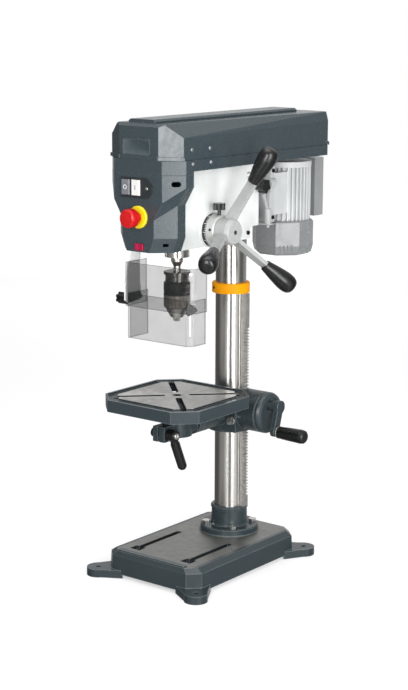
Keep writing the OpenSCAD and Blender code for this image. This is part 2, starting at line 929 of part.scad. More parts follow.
// Solid form of the front cover moved inward by d
module cover_form(d) {
    hw = tray_w / 2;
    low = cover_low_w / 2;
    slope = [-(hw - low), 0, -cover_drop];
    edge = [hw, tray_front + cover_cut, cover_shoulder];
    front = [hw - cover_cut, tray_front, cover_corner];
    side_n = [cover_drop, 0, -(hw - low)];
    corner_n = cross(front - edge, slope);
    difference() {
        translate([0, 0, cover_corner - cover_drop - 10])
            linear_extrude(cover_seam - cover_corner + cover_drop + 10)
                cover_plan(hw, d);
        for (s = [0, 1])
            mirror([s, 0, 0]) {
                beyond(edge - d * side_n / norm(side_n), side_n);
                beyond(edge - d * corner_n / norm(corner_n), corner_n);
            }
    }
    translate([0, 0, head_z + cover_taper])
        linear_extrude(cover_seam - head_z - cover_taper)
            cover_plan(low, d);
    hull() {
        translate([0, 0, head_z + cover_taper])
            linear_extrude(1)
                cover_plan(low, d);
        translate([0, 0, head_z + d])
            linear_extrude(1)
                cover_plan(low - cover_tuck, d);
    }
}

// Places its child on the right chamfer of the cover where its half width is hw, +Z outward
module cover_chamfer(hw, z) {
    translate([hw - cover_cut * 0.41, tray_front + cover_cut * 0.59, z])
        rotate([90, 0, 45])
            children();
}

// Rounded slot through the chamfer wall
module cover_vent() {
    translate([0, 0, -cover_wall - 2])
        linear_extrude(cover_wall + 4)
            union() {
                square([vent_w - vent_h, vent_h], center = true);
                for (s = [-1, 1])
                    translate([s * (vent_w - vent_h) / 2, 0])
                        circle(d = vent_h);
            }
}

module front_cover() {
    frame_w = 5;
    port_hw = cover_low_w / 2 - cover_tuck * (1 - (port_z - head_z) / cover_taper);
    color("dimgray")
    difference() {
        cover_form(0);
        difference() {
            cover_form(cover_wall);
            translate([-head_w, cover_back - cover_wall, head_z])
                cube([2 * head_w, cover_wall + 1, head_h]);
            box([rocker_x - rocker_w / 2 - frame_w, tray_front, rocker_z - rocker_h / 2 - frame_w],
                [rocker_x + rocker_w / 2 + frame_w, tray_front + 8, rocker_z + rocker_h / 2 + frame_w]);
        }
        translate([-head_w, tray_front + cover_wall, cover_seam - 3])
            intersection() {
                cube([2 * head_w, cover_depth - 2 * cover_wall, 10]);
                translate([head_w, -tray_front - cover_wall, 0])
                    linear_extrude(10)
                        cover_plan(tray_w / 2, cover_wall);
            }
        box([-head_w / 2 + 14, cover_back - cover_wall - 1, head_z + 40],
            [head_w / 2 - 14, cover_back + 1, cover_seam - 20]);
        box([plate_x0 + 2, tray_front - 1, plate_z0 + 3],
            [start_x + button_w / 2 + 3, tray_front + 10, plate_z1 - 3]);
        cover_chamfer(tray_w / 2, vent_z)
            cover_vent();
        cover_chamfer(port_hw, port_z)
            cube([port_w, port_h, 3 * cover_wall], center = true);
        translate([estop_x, 0, estop_z])
            ycyl(estop_stem + 1.5, tray_front - 1, tray_front + 10);
        box([rocker_x - rocker_w / 2 - rocker_room, tray_front - 1, rocker_z - rocker_h / 2 - gap],
            [rocker_x + rocker_w / 2 + rocker_room, tray_front + 12, rocker_z + rocker_h / 2 + gap]);
        translate([rocker_x, rocker_axis, rocker_z - rocker_h / 2 - 2.5])
            cylinder(r = rocker_pin + run, h = rocker_h + 5);
    }
}

// Outline of the switch plate, pointed at the right
module plate_outline() {
    zm = (plate_z0 + plate_z1) / 2;
    polygon([[plate_x0, plate_z0], [plate_x1 - plate_tip, plate_z0], [plate_x1, zm - 6],
        [plate_x1, zm + 6], [plate_x1 - plate_tip, plate_z1], [plate_x0, plate_z1]]);
}

module switch_plate() {
    x1 = start_x + button_w / 2 + 2;
    color("gray")
    difference() {
        union() {
            translate([0, tray_front, 0])
                rotate([90, 0, 0])
                    linear_extrude(plate_t)
                        plate_outline();
            box([plate_x0 + 3, tray_front - 1, plate_z0 + 4], [x1, tray_front + 30, plate_z1 - 4]);
        }
        for (x = [stop_x, start_x])
            box([x - button_w / 2 - gap, tray_front - plate_t - 1, button_z - button_h / 2 - gap],
                [x + button_w / 2 + gap, tray_front + 12, button_z + button_h / 2 + gap]);
    }
}

// Push button with a soft front edge
module push_button(x) {
    back = 6;
    translate([x, tray_front - button_out, button_z])
        difference() {
            box([-button_w / 2, 0, -button_h / 2], [button_w / 2, button_out + back, button_h / 2]);
            for (s = [-1, 1])
                translate([s * button_w / 2, 0, 0])
                    rotate(45)
                        cube([2.5, 2.5, 2 * button_h], center = true);
        }
}

module stop_button() {
    color("gray")
    push_button(stop_x);
}

module start_button() {
    color("white")
    push_button(start_x);
}

module estop_ring() {
    color("gold")
    translate([estop_x, tray_front, estop_z])
        rotate([90, 0, 0])
            rotate_extrude()
                polygon([[estop_stem + run, -12], [estop_stem + 1.4, -12], [estop_stem + 1.4, 0],
                    [estop_ring_r, 0], [estop_ring_r, 3], [estop_ring_r - 2, 5], [estop_stem + run, 5]]);
}

module estop_button() {
    r = estop_d / 2;
    color("red")
    translate([estop_x, tray_front, estop_z])
        rotate([90, 0, 0])
            rotate_extrude()
                polygon([[0, -10], [estop_stem, -10], [estop_stem, 16], [r - 3, 18], [r, 21], [r, 36],
                    [r - 1.2, 39], [r - 4, 41], [0, 42]]);
}

module rocker_switch() {
    color("magenta")
    translate([rocker_x, rocker_axis, rocker_z]) {
        difference() {
            box([-rocker_w / 2, -7, -rocker_h / 2], [rocker_w / 2, 4, rocker_h / 2]);
            for (s = [0, 1])
                mirror([s, 0, 0])
                    translate([0, -6, 0])
                        rotate(-8)
                            box([0, -6, -rocker_h], [rocker_w, 0, rocker_h]);
        }
        translate([0, 0, -rocker_h / 2 - 2])
            cylinder(r = rocker_pin, h = rocker_h + 4);
    }
}

// Knuckles along the lid hinge: the tray keeps the outer pair, the lid the middle one
module knuckles(outer) {
    for (y = [hinge_y1, hinge_y2])
        translate([hinge_x, y, tray_top])
            if (outer)
                for (s = [-1, 1])
                    translate([0, s * 17 - 6, 0])
                        difference() {
                            union() {
                                ycyl(knuckle_r, 0, 12);
                                box([0, 0, -8], [8, 12, 0]);
                            }
                            ycyl(pin_r + run, -1, 13);
                        }
            else
                difference() {
                    union() {
                        ycyl(knuckle_r, -10.5, 10.5);
                        box([0, -10.5, gap], [11, 10.5, 8]);
                    }
                    ycyl(pin_r + run, -12, 12);
                }
}

module belt_tray() {
    color("dimgray") {
        difference() {
            translate([0, 0, tray_z])
                linear_extrude(tray_h)
                    cut_plan(tray_w / 2, tray_front, tray_back, tray_cut, tray_cut);
            translate([0, 0, tray_z + tray_t])
                linear_extrude(tray_h)
                    cut_plan(tray_w / 2, tray_front, tray_back, tray_cut, tray_cut, cover_wall);
            translate([0, sp_y, tray_z - 1])
                cylinder(r = bearing_or + 2, h = tray_h);
            for (y = [motor_y - motor_travel, motor_y])
                translate([0, y, tray_z - 1])
                    cylinder(r = 24, h = tray_h);
            box([-24, motor_y - motor_travel, tray_z - 1], [24, motor_y, tray_z + tray_h - 5]);
        }
        intersection() {
            translate([0, 0, cover_seam + gap])
                linear_extrude(tray_z - cover_seam)
                    difference() {
                        cut_plan(tray_w / 2, tray_front, tray_back, tray_cut, tray_cut);
                        cut_plan(tray_w / 2, tray_front, tray_back, tray_cut, tray_cut, cover_wall);
                    }
            box([-tray_w, tray_front - 1, cover_seam], [tray_w, cover_back, tray_z + 1]);
        }
        knuckles(true);
    }
}

// Slice of the lid at one Y with shoulder and top edge heights
module lid_slice(y, hw, shoulder, top_hw, top) {
    translate([0, y + 0.5, 0])
        rotate([90, 0, 0])
            linear_extrude(1)
                polygon([[-hw, lid_z - 5], [hw, lid_z - 5], [hw, shoulder], [top_hw, top], [-top_hw, top],
                    [-hw, shoulder]]);
}

// Solid form of the lid moved inward by d
module lid_form(d) {
    hw = lid_hw - d;
    intersection() {
        translate([0, 0, lid_z - (d > 0 ? 1 : 0)])
            linear_extrude(lid_h + 10)
                cut_plan(lid_hw, lid_front, lid_back, lid_cut_x, lid_cut_y, d);
        hull() {
            lid_slice(lid_front - 2, hw, lid_z + 46 - d, 61 - d, lid_top - 8 - d);
            lid_slice(lid_front + 10, hw, lid_z + 47 - d, 63 - d, lid_top - d);
            lid_slice(lid_back - 14, hw, lid_z + 56 - d, 88 - d, lid_top - d);
            lid_slice(lid_back + 2, hw, lid_z + 50 - d, 86 - d, lid_top - 9 - d);
        }
    }
}

// Raised ridge along the lid moved inward by d
module lid_ridge(d) {
    y0 = lid_front + 11 + d;
    y1 = lid_back - 67 - d;
    translate([0, y1, 0])
        rotate([90, 0, 0])
            linear_extrude(y1 - y0)
                polygon([[-ridge_hw + d, lid_top - 6], [ridge_hw - d, lid_top - 6],
                    [ridge_hw - d, lid_top + ridge_h - 4 - d], [ridge_hw - 5, lid_top + ridge_h - d],
                    [-ridge_hw + 5, lid_top + ridge_h - d], [-ridge_hw + d, lid_top + ridge_h - 4 - d]]);
}

module belt_lid() {
    color("dimgray") {
        difference() {
            union() {
                lid_form(0);
                lid_ridge(0);
            }
            lid_form(lid_t);
            lid_ridge(lid_t);
        }
        intersection() {
            translate([0, 0, lid_z])
                linear_extrude(lip_h)
                    difference() {
                        cut_plan(lid_hw, lid_front, lid_back, lid_cut_x, lid_cut_y, -lip_w);
                        cut_plan(lid_hw, lid_front, lid_back, lid_cut_x, lid_cut_y, 1);
                    }
            union() {
                box([-tray_w, lid_front - 10, lid_z], [tray_w, lid_front + lid_cut_y, lid_z + lip_h]);
                box([-tray_w, lid_back - lid_cut_y, lid_z], [tray_w, lid_back + 10, lid_z + lip_h]);
            }
        }
        knuckles(false);
    }
}

module lid_pins() {
    color("silver")
    for (y = [hinge_y1, hinge_y2])
        translate([hinge_x, y, tray_top])
            ycyl(pin_r, -23, 23);
}

module quill() {
    half = feed_pitch / 4 + feed_slack / 4;
    tip = rack_back + feed_rack_add * feed_m;
    root = rack_back - feed_rack_ded * feed_m;
    out = quill_r + 0.5;
    low = feed_z - 13;
    high = feed_z + quill_stroke + 13;
    i0 = ceil((low - feed_z) / feed_pitch);
    i1 = floor((high - feed_z) / feed_pitch);
    color("silver")
    difference() {
        translate([0, sp_y, quill_nose])
            cylinder(r = quill_r, h = quill_top - quill_nose);
        translate([0, sp_y, quill_nose - 1])
            cylinder(r = spindle_r + 3, h = quill_top - quill_nose + 2);
        for (z = [quill_nose - 1, quill_top - 22])
            translate([0, sp_y, z])
                cylinder(r = quill_bearing_r, h = 23);
        box([-quill_r, sp_y + tip, low], [quill_r, sp_y + quill_r + 1, high]);
        translate([-quill_r, sp_y, feed_z])
            rotate([90, 0, 90])
                linear_extrude(2 * quill_r)
                    for (i = [i0:i1 - 1])
                        translate([0, (i + 0.5) * feed_pitch])
                            polygon([[root, -half + (rack_back - root) * tan20],
                                [out, -half - (out - rack_back) * tan20],
                                [out, half + (out - rack_back) * tan20],
                                [root, half - (rack_back - root) * tan20]]);
    }
}

module quill_bearings() {
    color("lightgray")
    for (z = [quill_nose + 2, quill_top - 19])
        translate([0, sp_y, z])
            difference() {
                cylinder(r = quill_bearing_r - run, h = 17);
                translate([0, 0, -1])
                    cylinder(r = spindle_r + run, h = 19);
            }
}

// Spline outline: round bar with four keys, grown by d
module spline(d) {
    circle(r = spline_r + d);
    for (a = [0, 90])
        rotate(a)
            square([2 * (key_r + d), key_w + 2 * d], center = true);
}

module spindle() {
    color("silver")
    translate([0, sp_y, 0]) {
        translate([0, 0, chuck_top - 31])
            rotate_extrude()
                polygon([[0, 0], [arbor_r - 1, 0], [arbor_r, 1], [arbor_r, 43], [13.5, 53],
                    [13.5, 63 - gap], [spindle_r, 63 - gap], [spindle_r, quill_top - chuck_top + 31],
                    [0, quill_top - chuck_top + 31]]);
        translate([0, 0, quill_top - 1])
            linear_extrude(tray_z + 66 - quill_top)
                spline(0);
    }
}

// Places its child on one inclined jaw axis
module jaw_axis(a) {
    translate([0, sp_y, jaw_tip])
        rotate(a)
            translate([jaw_out, 0, 0])
                rotate([0, jaw_tilt, 0])
                    children();
}

module chuck_body() {
    color("dimgray")
    difference() {
        translate([0, sp_y, chuck_top])
            rotate_extrude()
                polygon([[0, -101], [14, -101], [core_r + 1.5, -80], [core_r + 1.5, -79 - gap],
                    [core_r, -79 - gap], [core_r, -23], [core_r + 1, -21], [core_r + 1, -7],
                    [chuck_r, -6], [chuck_r, -1], [chuck_r - 1, 0], [0, 0]]);
        translate([0, sp_y, chuck_top - 32])
            cylinder(r = arbor_r + run, h = 33);
        translate([0, sp_y, chuck_low - 1])
            cylinder(r = chuck_max / 2 + 2.3, h = 60);
        for (a = [90, 210, 330])
            jaw_axis(a)
                translate([0, 0, -10])
                    cylinder(r = jaw_r + run, h = 10 + jaw_l + jaw_travel + 1);
    }
}

module chuck_sleeve() {
    h = sleeve_z1 - sleeve_z0 - 2 * gap;
    flutes = 18;
    color("dimgray")
    translate([0, sp_y, sleeve_z0 + gap])
        difference() {
            rotate_extrude()
                polygon([[core_r + gap, 0], [chuck_r - 1.5, 0], [chuck_r, 2], [chuck_r, 33],
                    [chuck_r - 1.5, 34], [chuck_r - 1.5, 35], [chuck_r, 36], [chuck_r, h - 1],
                    [chuck_r - 1, h], [core_r + gap, h]]);
            for (i = [0:flutes - 1])
                rotate(i * 360 / flutes)
                    translate([chuck_r + 1.2, 0, 4])
                        cylinder(r = 2.4, h = 27, $fn = 24);
        }
}

// Jaw ground to a third of the bore
module jaw(a) {
    color("gray")
    intersection() {
        jaw_axis(a)
            cylinder(r = jaw_r, h = jaw_l);
        translate([0, sp_y, jaw_tip + 1])
            rotate(a)
                translate([0.2, 0, 0])
                    linear_extrude(jaw_l)
                        polygon([[0, 0], 40 * [cos(60), -sin(60)], [60, 0], 40 * [cos(60), sin(60)]]);
    }
}

module chuck_jaw_a() {
    jaw(90);
}

module chuck_jaw_b() {
    jaw(210);
}

module chuck_jaw_c() {
    jaw(330);
}

module sleeve_bearings() {
    color("lightgray")
    for (z = [bearing_z, bearing_z + 14])
        translate([0, sp_y, z])
            difference() {
                cylinder(r = bearing_or, h = 14);
                translate([0, 0, -1])
                    cylinder(r = bearing_ir + run, h = 16);
            }
}

// Outline of a four-step V pulley on a bore
function pulley_outline(steps, bore) =
    concat([[bore, 0]],
        [for (i = [0:3]) let (r = steps[i], z = i * step_h)
            each [[r, z + (i == 0 ? 0 : 0.5)], [r, z + 3], [r - groove_d, z + 6], [r - groove_d, z + 10],
                [r, z + 13], [r, z + step_h - (i == 3 ? 0 : 0.5)]]],
        [[bore, 4 * step_h]]);

module spindle_pulley() {
    color("silver")
    translate([0, sp_y, 0])
        difference() {
            union() {
                translate([0, 0, pulley_z])
                    rotate_extrude()
                        polygon(pulley_outline(spindle_steps, 0));
                translate([0, 0, bearing_z])
                    cylinder(r = bearing_ir, h = pulley_z - bearing_z + 1);
                translate([0, 0, pulley_z + 4 * step_h - 1])
                    cylinder(r = 16, h = 7);
            }
            translate([0, 0, bearing_z - 1])
                linear_extrude(pulley_z - bearing_z + 4 * step_h + 10)
                    spline(0.15);
        }
}

// Outline of the belt round both pulleys at radii r1 and r2
function belt_outline(r1, r2, lean) =
    concat([for (k = [0:36]) let (a = 180 - lean + (180 + 2 * lean) * k / 36)
            [0, sp_y] + r1 * [cos(a), sin(a)]],
        [for (k = [0:36]) let (a = lean + (180 - 2 * lean) * k / 36)
            [0, motor_y] + r2 * [cos(a), sin(a)]]);

module drive_belt() {
    r1 = spindle_steps[belt_step] - 1;
    r2 = belt_sum - spindle_steps[belt_step] - 1;
    lean = asin((r1 - r2) / (motor_y - sp_y));
    color("black")
    translate([0, 0, belt_z - belt_w / 2])
        linear_extrude(belt_w)
            difference() {
                polygon(belt_outline(r1, r2, lean));
                polygon(belt_outline(r1 - belt_t, r2 - belt_t, lean));
            }
}

module pinion_shaft() {
    pinion_hw = 15.5;
    color("silver")
    translate([0, feed_y, feed_z]) {
        translate([-pinion_hw, 0, 0])
            rotate([90, 0, 90])
                linear_extrude(2 * pinion_hw)
                    polygon(gear_outline(feed_n, feed_m, feed_add, feed_ded, feed_slack));
        for (s = [0, 1])
            mirror([s, 0, 0])
                xcyl(feed_journal, pinion_hw, boss_x);
        xcyl(feed_stub, boss_x - 1, hub_x1 - 6);
        xcyl(feed_stub, -boss_x - 18, -boss_x + 1);
    }
}

// Places its child on each feed spoke, +Z along the spoke from the hub axis
module spoke_places() {
    translate([spoke_x, feed_y, feed_z])
        for (i = [0:spokes - 1])
            rotate([spoke_turn - i * 360 / spokes - 90, 0, 0])
                rotate([0, spoke_tilt, 0])
                    children();
}

// Flat tapered bar of one spoke, grown by d
module spoke_bar(d) {
    top = spoke_r / cos(spoke_tilt) + grip_in + d;
    w0 = (spoke_w + spoke_flare) / 2 + d;
    w1 = spoke_w / 2 + d;
    rotate([90, 0, 0])
        linear_extrude(spoke_t + 2 * d, center = true)
            polygon([[-w0, spoke_in - d], [w0, spoke_in - d], [w1, top], [-w1, top]]);
}

module feed_hub() {
    color("silver")
    difference() {
        translate([0, feed_y, feed_z])
            rotate([0, 90, 0])
                rotate_extrude()
                    polygon([[0, hub_x0], [hub_journal, hub_x0], [hub_journal, collar_x1 + gap],
                        [hub_r, collar_x1 + gap], [hub_r, hub_x1 - 9], [hub_r - 3, hub_x1 - 2],
                        [hub_r - 5, hub_x1], [0, hub_x1]]);
        translate([0, feed_y, feed_z])
            xcyl(feed_stub + run, hub_x0 - 1, hub_x1 - 6);
        spoke_places()
            spoke_bar(run);
    }
}

module feed_spokes() {
    color("silver")
    spoke_places()
        spoke_bar(0);
}

module feed_grips() {
    r = grip_d / 2;
    l = grip_l;
    color("black")
    difference() {
        spoke_places()
            translate([0, 0, spoke_r / cos(spoke_tilt)])
                rotate_extrude()
                    polygon([[0, 0], [grip_root - 1, 0], [grip_root, 2], [r - 4, l * 0.32],
                        [r - 0.8, l * 0.58], [r, l * 0.72], [r - 1.5, l - 11], [r - 5, l - 4], [r - 11, l], [0, l]]);
        spoke_places()
            spoke_bar(run);
    }
}

module depth_ring() {
    r = scale_d / 2;
    color("darkgray")
    difference() {
        translate([0, feed_y, feed_z])
            rotate([0, 90, 0])
                rotate_extrude()
                    polygon([[hub_journal + run, scale_x0], [r, scale_x0], [r, scale_x1],
                        [r - 2.5, scale_x1], [r - 2.5, collar_x1 - 2], [r - 4.5, collar_x1],
                        [hub_journal + run, collar_x1]]);
        translate([knob_x, feed_y, feed_z])
            cylinder(r = knob_stem + run, h = r + 5);
    }
}

module depth_knob() {
    r = scale_d / 2;
    color("black")
    translate([knob_x, feed_y, feed_z + hub_journal + 2]) {
        cylinder(r = knob_stem, h = r - 12);
        translate([0, 0, r - 13])
            star_knob(14, 14, 6);
    }
}

module spring_cap() {
    color("dimgray")
    translate([-boss_x, feed_y, feed_z])
        rotate([0, -90, 0])
            rotate_extrude()
                polygon([[cap_r - 3, 0], [cap_r, 0], [cap_r, cap_l - 3], [cap_r - 3, cap_l], [0, cap_l],
                    [0, cap_l - 3], [cap_r - 3, cap_l - 3]]);
}

// Flat spiral between two radii
function spiral(r0, r1, turns, n) =
    [for (i = [0:n]) let (a = i * turns * 360 / n) (r0 + (r1 - r0) * i / n) * [cos(a), sin(a)]];

module return_spring() {
    strip = 1.2;
    r0 = feed_stub + 1;
    r1 = cap_r - 5;
    inner = spiral(r0, r1, 4, 96);
    outer = spiral(r0 + strip, r1 + strip, 4, 96);
    color("gray")
    translate([-boss_x - 5, feed_y, feed_z])
        rotate([0, -90, 0])
            linear_extrude(12)
                polygon(concat(inner, [for (i = [96:-1:0]) outer[i]]));
}

module motor_bracket() {
    color("gray")
    difference() {
        union() {
            box([-bracket_hw, bracket_y, bracket_z0], [bracket_hw, bracket_y + bracket_t, bracket_z1]);
            for (s = [-1, 1])
                box([s * (bracket_hw - 4) - 4, bracket_y - 5, bracket_z0],
                    [s * (bracket_hw - 4) + 4, bracket_y + 1, bar_z - 20]);
            for (s = [-1, 1])
                translate([s * bar_x, 0, bar_z])
                    ycyl(bar_r + 5, bracket_y - 6, bracket_y + bracket_t);
        }
        for (s = [-1, 1])
            translate([s * bar_x, 0, bar_z])
                ycyl(bar_r + run, bracket_y - 7, bracket_y + bracket_t + 1);
    }
}

module slide_bars() {
    color("silver")
    for (s = [-1, 1])
        translate([s * bar_x, 0, bar_z])
            ycyl(bar_r, bar_in, bracket_y + bracket_t);
}

module motor_body() {
    pad_hw = 44;
    color("gray")
    difference() {
        translate([0, motor_y, 0])
            union() {
                translate([0, 0, motor_z0])
                    cylinder(r = motor_r - 8, h = motor_z1 - motor_z0);
                for (i = [0:motor_fins - 1])
                    rotate((i + 0.5) * 360 / motor_fins)
                        box([motor_r - 12, -1.5, motor_z0], [motor_r, 1.5, motor_z1]);
                translate([0, 0, motor_z1])
                    cylinder(r = motor_cap_r, h = motor_cap);
                translate([0, 0, motor_z1 + motor_cap - 1])
                    cylinder(r = 20, h = 3);
                box([-pad_hw, bracket_y + bracket_t - motor_y + run, motor_z0 + 20],
                    [pad_hw, -motor_r + 18, motor_z1 - 8]);
                box([-25, motor_r - 18, motor_z0 + 16], [25, motor_cap_r, motor_z1 - 6]);
            }
        translate([0, motor_y, motor_z0 + 10])
            cylinder(r = shaft_r + run, h = 200);
    }
}

// Eight-sided slice of the fan cover at height z, moved inward by d
module fan_slice(z, d) {
    translate([0, 0, z])
        linear_extrude(1)
            polygon([for (i = [0:7]) (fan_r - d) * [cos(i * 45 + 22.5), sin(i * 45 + 22.5)]]);
}

module fan_cover() {
    slots = 12;
    h = motor_z0 - fan_z0;
    color("dimgray")
    translate([0, motor_y, fan_z0])
        difference() {
            hull() {
                fan_slice(0, 12);
                fan_slice(6, 4);
                fan_slice(22, 0);
                fan_slice(h - 5, 0);
                fan_slice(h - 1, 4);
            }
            for (i = [0:slots - 1])
                rotate(i * 360 / slots)
                    box([22, -4, -1], [52, 4, 8]);
        }
}

module capacitor_box() {
    x0 = -35;
    y0 = motor_y + motor_cap_r + run;
    color("dimgray")
    difference() {
        box([x0, y0, cap_z0], [x0 + capacitor_w, y0 + 41, cap_z1]);
        for (x = [x0, x0 + capacitor_w])
            translate([x, y0 + 41, (cap_z0 + cap_z1) / 2])
                rotate(45)
                    cube([9, 9, 200], center = true);
    }
}

module motor_shaft() {
    color("silver")
    translate([0, motor_y, motor_z0 + 12])
        cylinder(r = shaft_r, h = pulley_z + 4 * step_h + 4 - motor_z0 - 12);
}

module motor_pulley() {
    steps = [for (r = spindle_steps) belt_sum - r];
    color("silver")
    translate([0, motor_y, pulley_z])
        difference() {
            rotate_extrude()
                polygon(pulley_outline(steps, shaft_r + run));
            translate([0, 0, 4 * step_h - 1])
                cylinder(r = 13, h = 2);
        }
}

module tension_lever() {
    color("silver")
    translate([lever_x, lever_y, lever_z]) {
        translate([0, 0, -8])
            cylinder(r = 4, h = 10);
        cylinder(r = 8, h = 34);
        translate([0, 0, 26])
            rotate([22, 0, 0])
                cylinder(r = 3.5, h = 44);
        translate([0, 0, 26])
            rotate([22, 0, 0])
                translate([0, 0, 44])
                    sphere(r = 5);
    }
}

module motor_lock_knob() {
    color("black")
    translate([0, lock_y, bar_z]) {
        xcyl(4, bar_x + bar_r + 1, head_w / 2 + 8);
        translate([head_w / 2 + 6, 0, 0])
            rotate([0, 90, 0])
                star_knob(16, 20, 5);
    }
}

module guard_post() {
    color("gray")
    translate([post_x, post_y, 0]) {
        translate([0, 0, guard_z0 + 14])
            cylinder(r = post_r, h = head_z + 40 - guard_z0 - 14);
        box([-8, -10, head_z + 12], [-head_w / 2 - run - post_x, 10, head_z + 30]);
        translate([0, 0, guard_z0 + 14])
            cylinder(r = post_r + 1.3, h = 5);
    }
}

module guard_arm() {
    eye_r = 9;
    color("gray")
    difference() {
        union() {
            translate([arm_x, 0, 0])
                rotate([90, 0, -90])
                    linear_extrude(arm_t)
                        polygon([[-sp_y + 67, guard_z0 + 12], [-sp_y + 67, guard_z1 - 46],
                            [-sp_y + 46, guard_z1 + 22], [-post_y, guard_z1 + 22], [-post_y, guard_z0 + 20],
                            [-sp_y + 10, guard_z0 + 20], [-sp_y + 10, guard_z0 + 10],
                            [-sp_y + 55, guard_z0 + 4]]);
            for (z = [guard_z0 + 20, guard_z1 + 2])
                translate([post_x, post_y, z])
                    cylinder(r = eye_r, h = 20);
        }
        translate([post_x, post_y, guard_z0])
            cylinder(r = post_r + run, h = 200);
        translate([0, guard_knob_y, guard_knob_z])
            xcyl(4 + run, arm_x - arm_t - 1, arm_x + 1);
    }
}

// Bent guard panel between two heights
module guard_panel(hw, front, left_back, right_back, z0, z1) {
    c = guard_cut - (guard_hw - hw) * 0.586;
    t = guard_t;
    k = 0.414 * t;
    translate([0, 0, z0])
        linear_extrude(z1 - z0)
            polygon([[-hw, left_back], [-hw, front], [hw - c, front], [hw, front + c], [hw, right_back],
                [hw - t, right_back], [hw - t, front + c + k], [hw - c - k, front + t],
                [-hw + t, front + t], [-hw + t, left_back]]);
}

// Places its child on the wing knob axis, +Z outward through the cut corner
module wing_axis() {
    translate([guard_hw - guard_cut / 2, guard_front + guard_cut / 2, wing_z])
        rotate([90, 0, 45])
            children();
}

module guard_upper() {
    color("lightblue")
    difference() {
        guard_panel(guard_hw, guard_front, sp_y + 3, sp_y - 10, guard_z0, guard_z1);
        wing_axis()
            translate([0, 0, -guard_t - 1])
                cylinder(r = wing_stud + run, h = guard_t + 2);
    }
}

module guard_lower() {
    slot_w = 2 * wing_stud + 2 * gap;
    color("lightblue")
    difference() {
        guard_panel(low_hw, low_front, sp_y + 3, sp_y - 10, low_z0, low_z1);
        wing_axis() {
            translate([-slot_w / 2, -guard_lift - 4, -16])
                cube([slot_w, guard_lift + 8, 14]);
        }
    }
}

module guard_knob() {
    color("black")
    translate([0, guard_knob_y, guard_knob_z]) {
        xcyl(4, arm_x - arm_t - 8, arm_x);
        translate([arm_x - arm_t - gap, 0, 0])
            rotate([0, -90, 0])
                star_knob(13, 24, 6);
    }
}

module guard_wing() {
    color("black")
    wing_axis() {
        translate([0, 0, -12])
            cylinder(r = wing_stud, h = 14);
        translate([0, 0, -14])
            cylinder(r = 5.5, h = 5);
        translate([0, 0, gap])
            star_knob(14, 11, 3);
    }
}

base_plate();
column_flange();
flange_bolts();
column_tube();
rack_collar();
column_rack();
table_bracket();
bracket_bolt();
lift_gear();
worm_shaft();
crank_arm();
crank_grip();
table_support();
table_top();
table_lever();
head_casting();
front_cover();
switch_plate();
stop_button();
start_button();
estop_ring();
estop_button();
rocker_switch();
belt_tray();
belt_lid();
lid_pins();
quill();
quill_bearings();
spindle();
chuck_body();
chuck_sleeve();
chuck_jaw_a();
chuck_jaw_b();
chuck_jaw_c();
sleeve_bearings();
spindle_pulley();
drive_belt();
pinion_shaft();
feed_hub();
feed_spokes();
feed_grips();
depth_ring();
depth_knob();
spring_cap();
return_spring();
motor_bracket();
slide_bars();
motor_body();
fan_cover();
capacitor_box();
motor_shaft();
motor_pulley();
tension_lever();
motor_lock_knob();
guard_post();
guard_arm();
guard_upper();
guard_lower();
guard_knob();
guard_wing();
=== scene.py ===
# %% [markdown]
# # Benchtop drill press
# The solids of this machine come from its imported CAD model, and this lesson dresses them for the
# camera. Everything stays in one frame: metres, +Z up the column, the operator in front at -Y and
# the operator's right hand at +X. The model is loaded first. Nothing that is added later may make
# the machine bigger than the CAD says.

# %% Load the machine
from math import cos, pi, radians, sin

import bmesh
import bpy
from mathutils import Matrix, Vector


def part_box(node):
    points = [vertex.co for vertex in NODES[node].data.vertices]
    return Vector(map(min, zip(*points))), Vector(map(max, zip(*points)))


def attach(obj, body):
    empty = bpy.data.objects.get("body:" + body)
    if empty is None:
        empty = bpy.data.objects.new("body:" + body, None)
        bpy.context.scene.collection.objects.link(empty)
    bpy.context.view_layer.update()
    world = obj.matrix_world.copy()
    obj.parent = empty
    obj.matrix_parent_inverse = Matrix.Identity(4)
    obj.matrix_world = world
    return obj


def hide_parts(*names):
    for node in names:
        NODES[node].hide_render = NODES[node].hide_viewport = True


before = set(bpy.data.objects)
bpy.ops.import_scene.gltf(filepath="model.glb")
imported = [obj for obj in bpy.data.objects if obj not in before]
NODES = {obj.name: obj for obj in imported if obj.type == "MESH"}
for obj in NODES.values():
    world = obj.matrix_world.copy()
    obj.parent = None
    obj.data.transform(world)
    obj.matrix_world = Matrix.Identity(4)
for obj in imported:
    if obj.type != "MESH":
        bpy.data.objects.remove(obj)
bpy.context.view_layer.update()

MM = 0.001

# %% [markdown]
# ## Camera
# The machine is seen from the operator's right, from a little above the table. A camera can be aimed
# with a Track To constraint, but here its place and its three angles were fitted to the edges of the
# table, the base and the column, so its axes are written straight into its matrix. The long lens
# keeps the upright lines nearly parallel.

# %% Place the camera
CAMERA_PLACE = Vector((2.253, -2.8875, 1.275))
CAMERA_YAW, CAMERA_PITCH, CAMERA_ROLL = radians(37.95), radians(11.75), radians(0.25)
CAMERA_LENS = 87.13

backward = Vector((
    sin(CAMERA_YAW) * cos(CAMERA_PITCH), -cos(CAMERA_YAW) * cos(CAMERA_PITCH), sin(CAMERA_PITCH)
))
level = Vector((cos(CAMERA_YAW), sin(CAMERA_YAW), 0))
upright = backward.cross(level)
rightward = level * cos(CAMERA_ROLL) + upright * sin(CAMERA_ROLL)
upward = upright * cos(CAMERA_ROLL) - level * sin(CAMERA_ROLL)

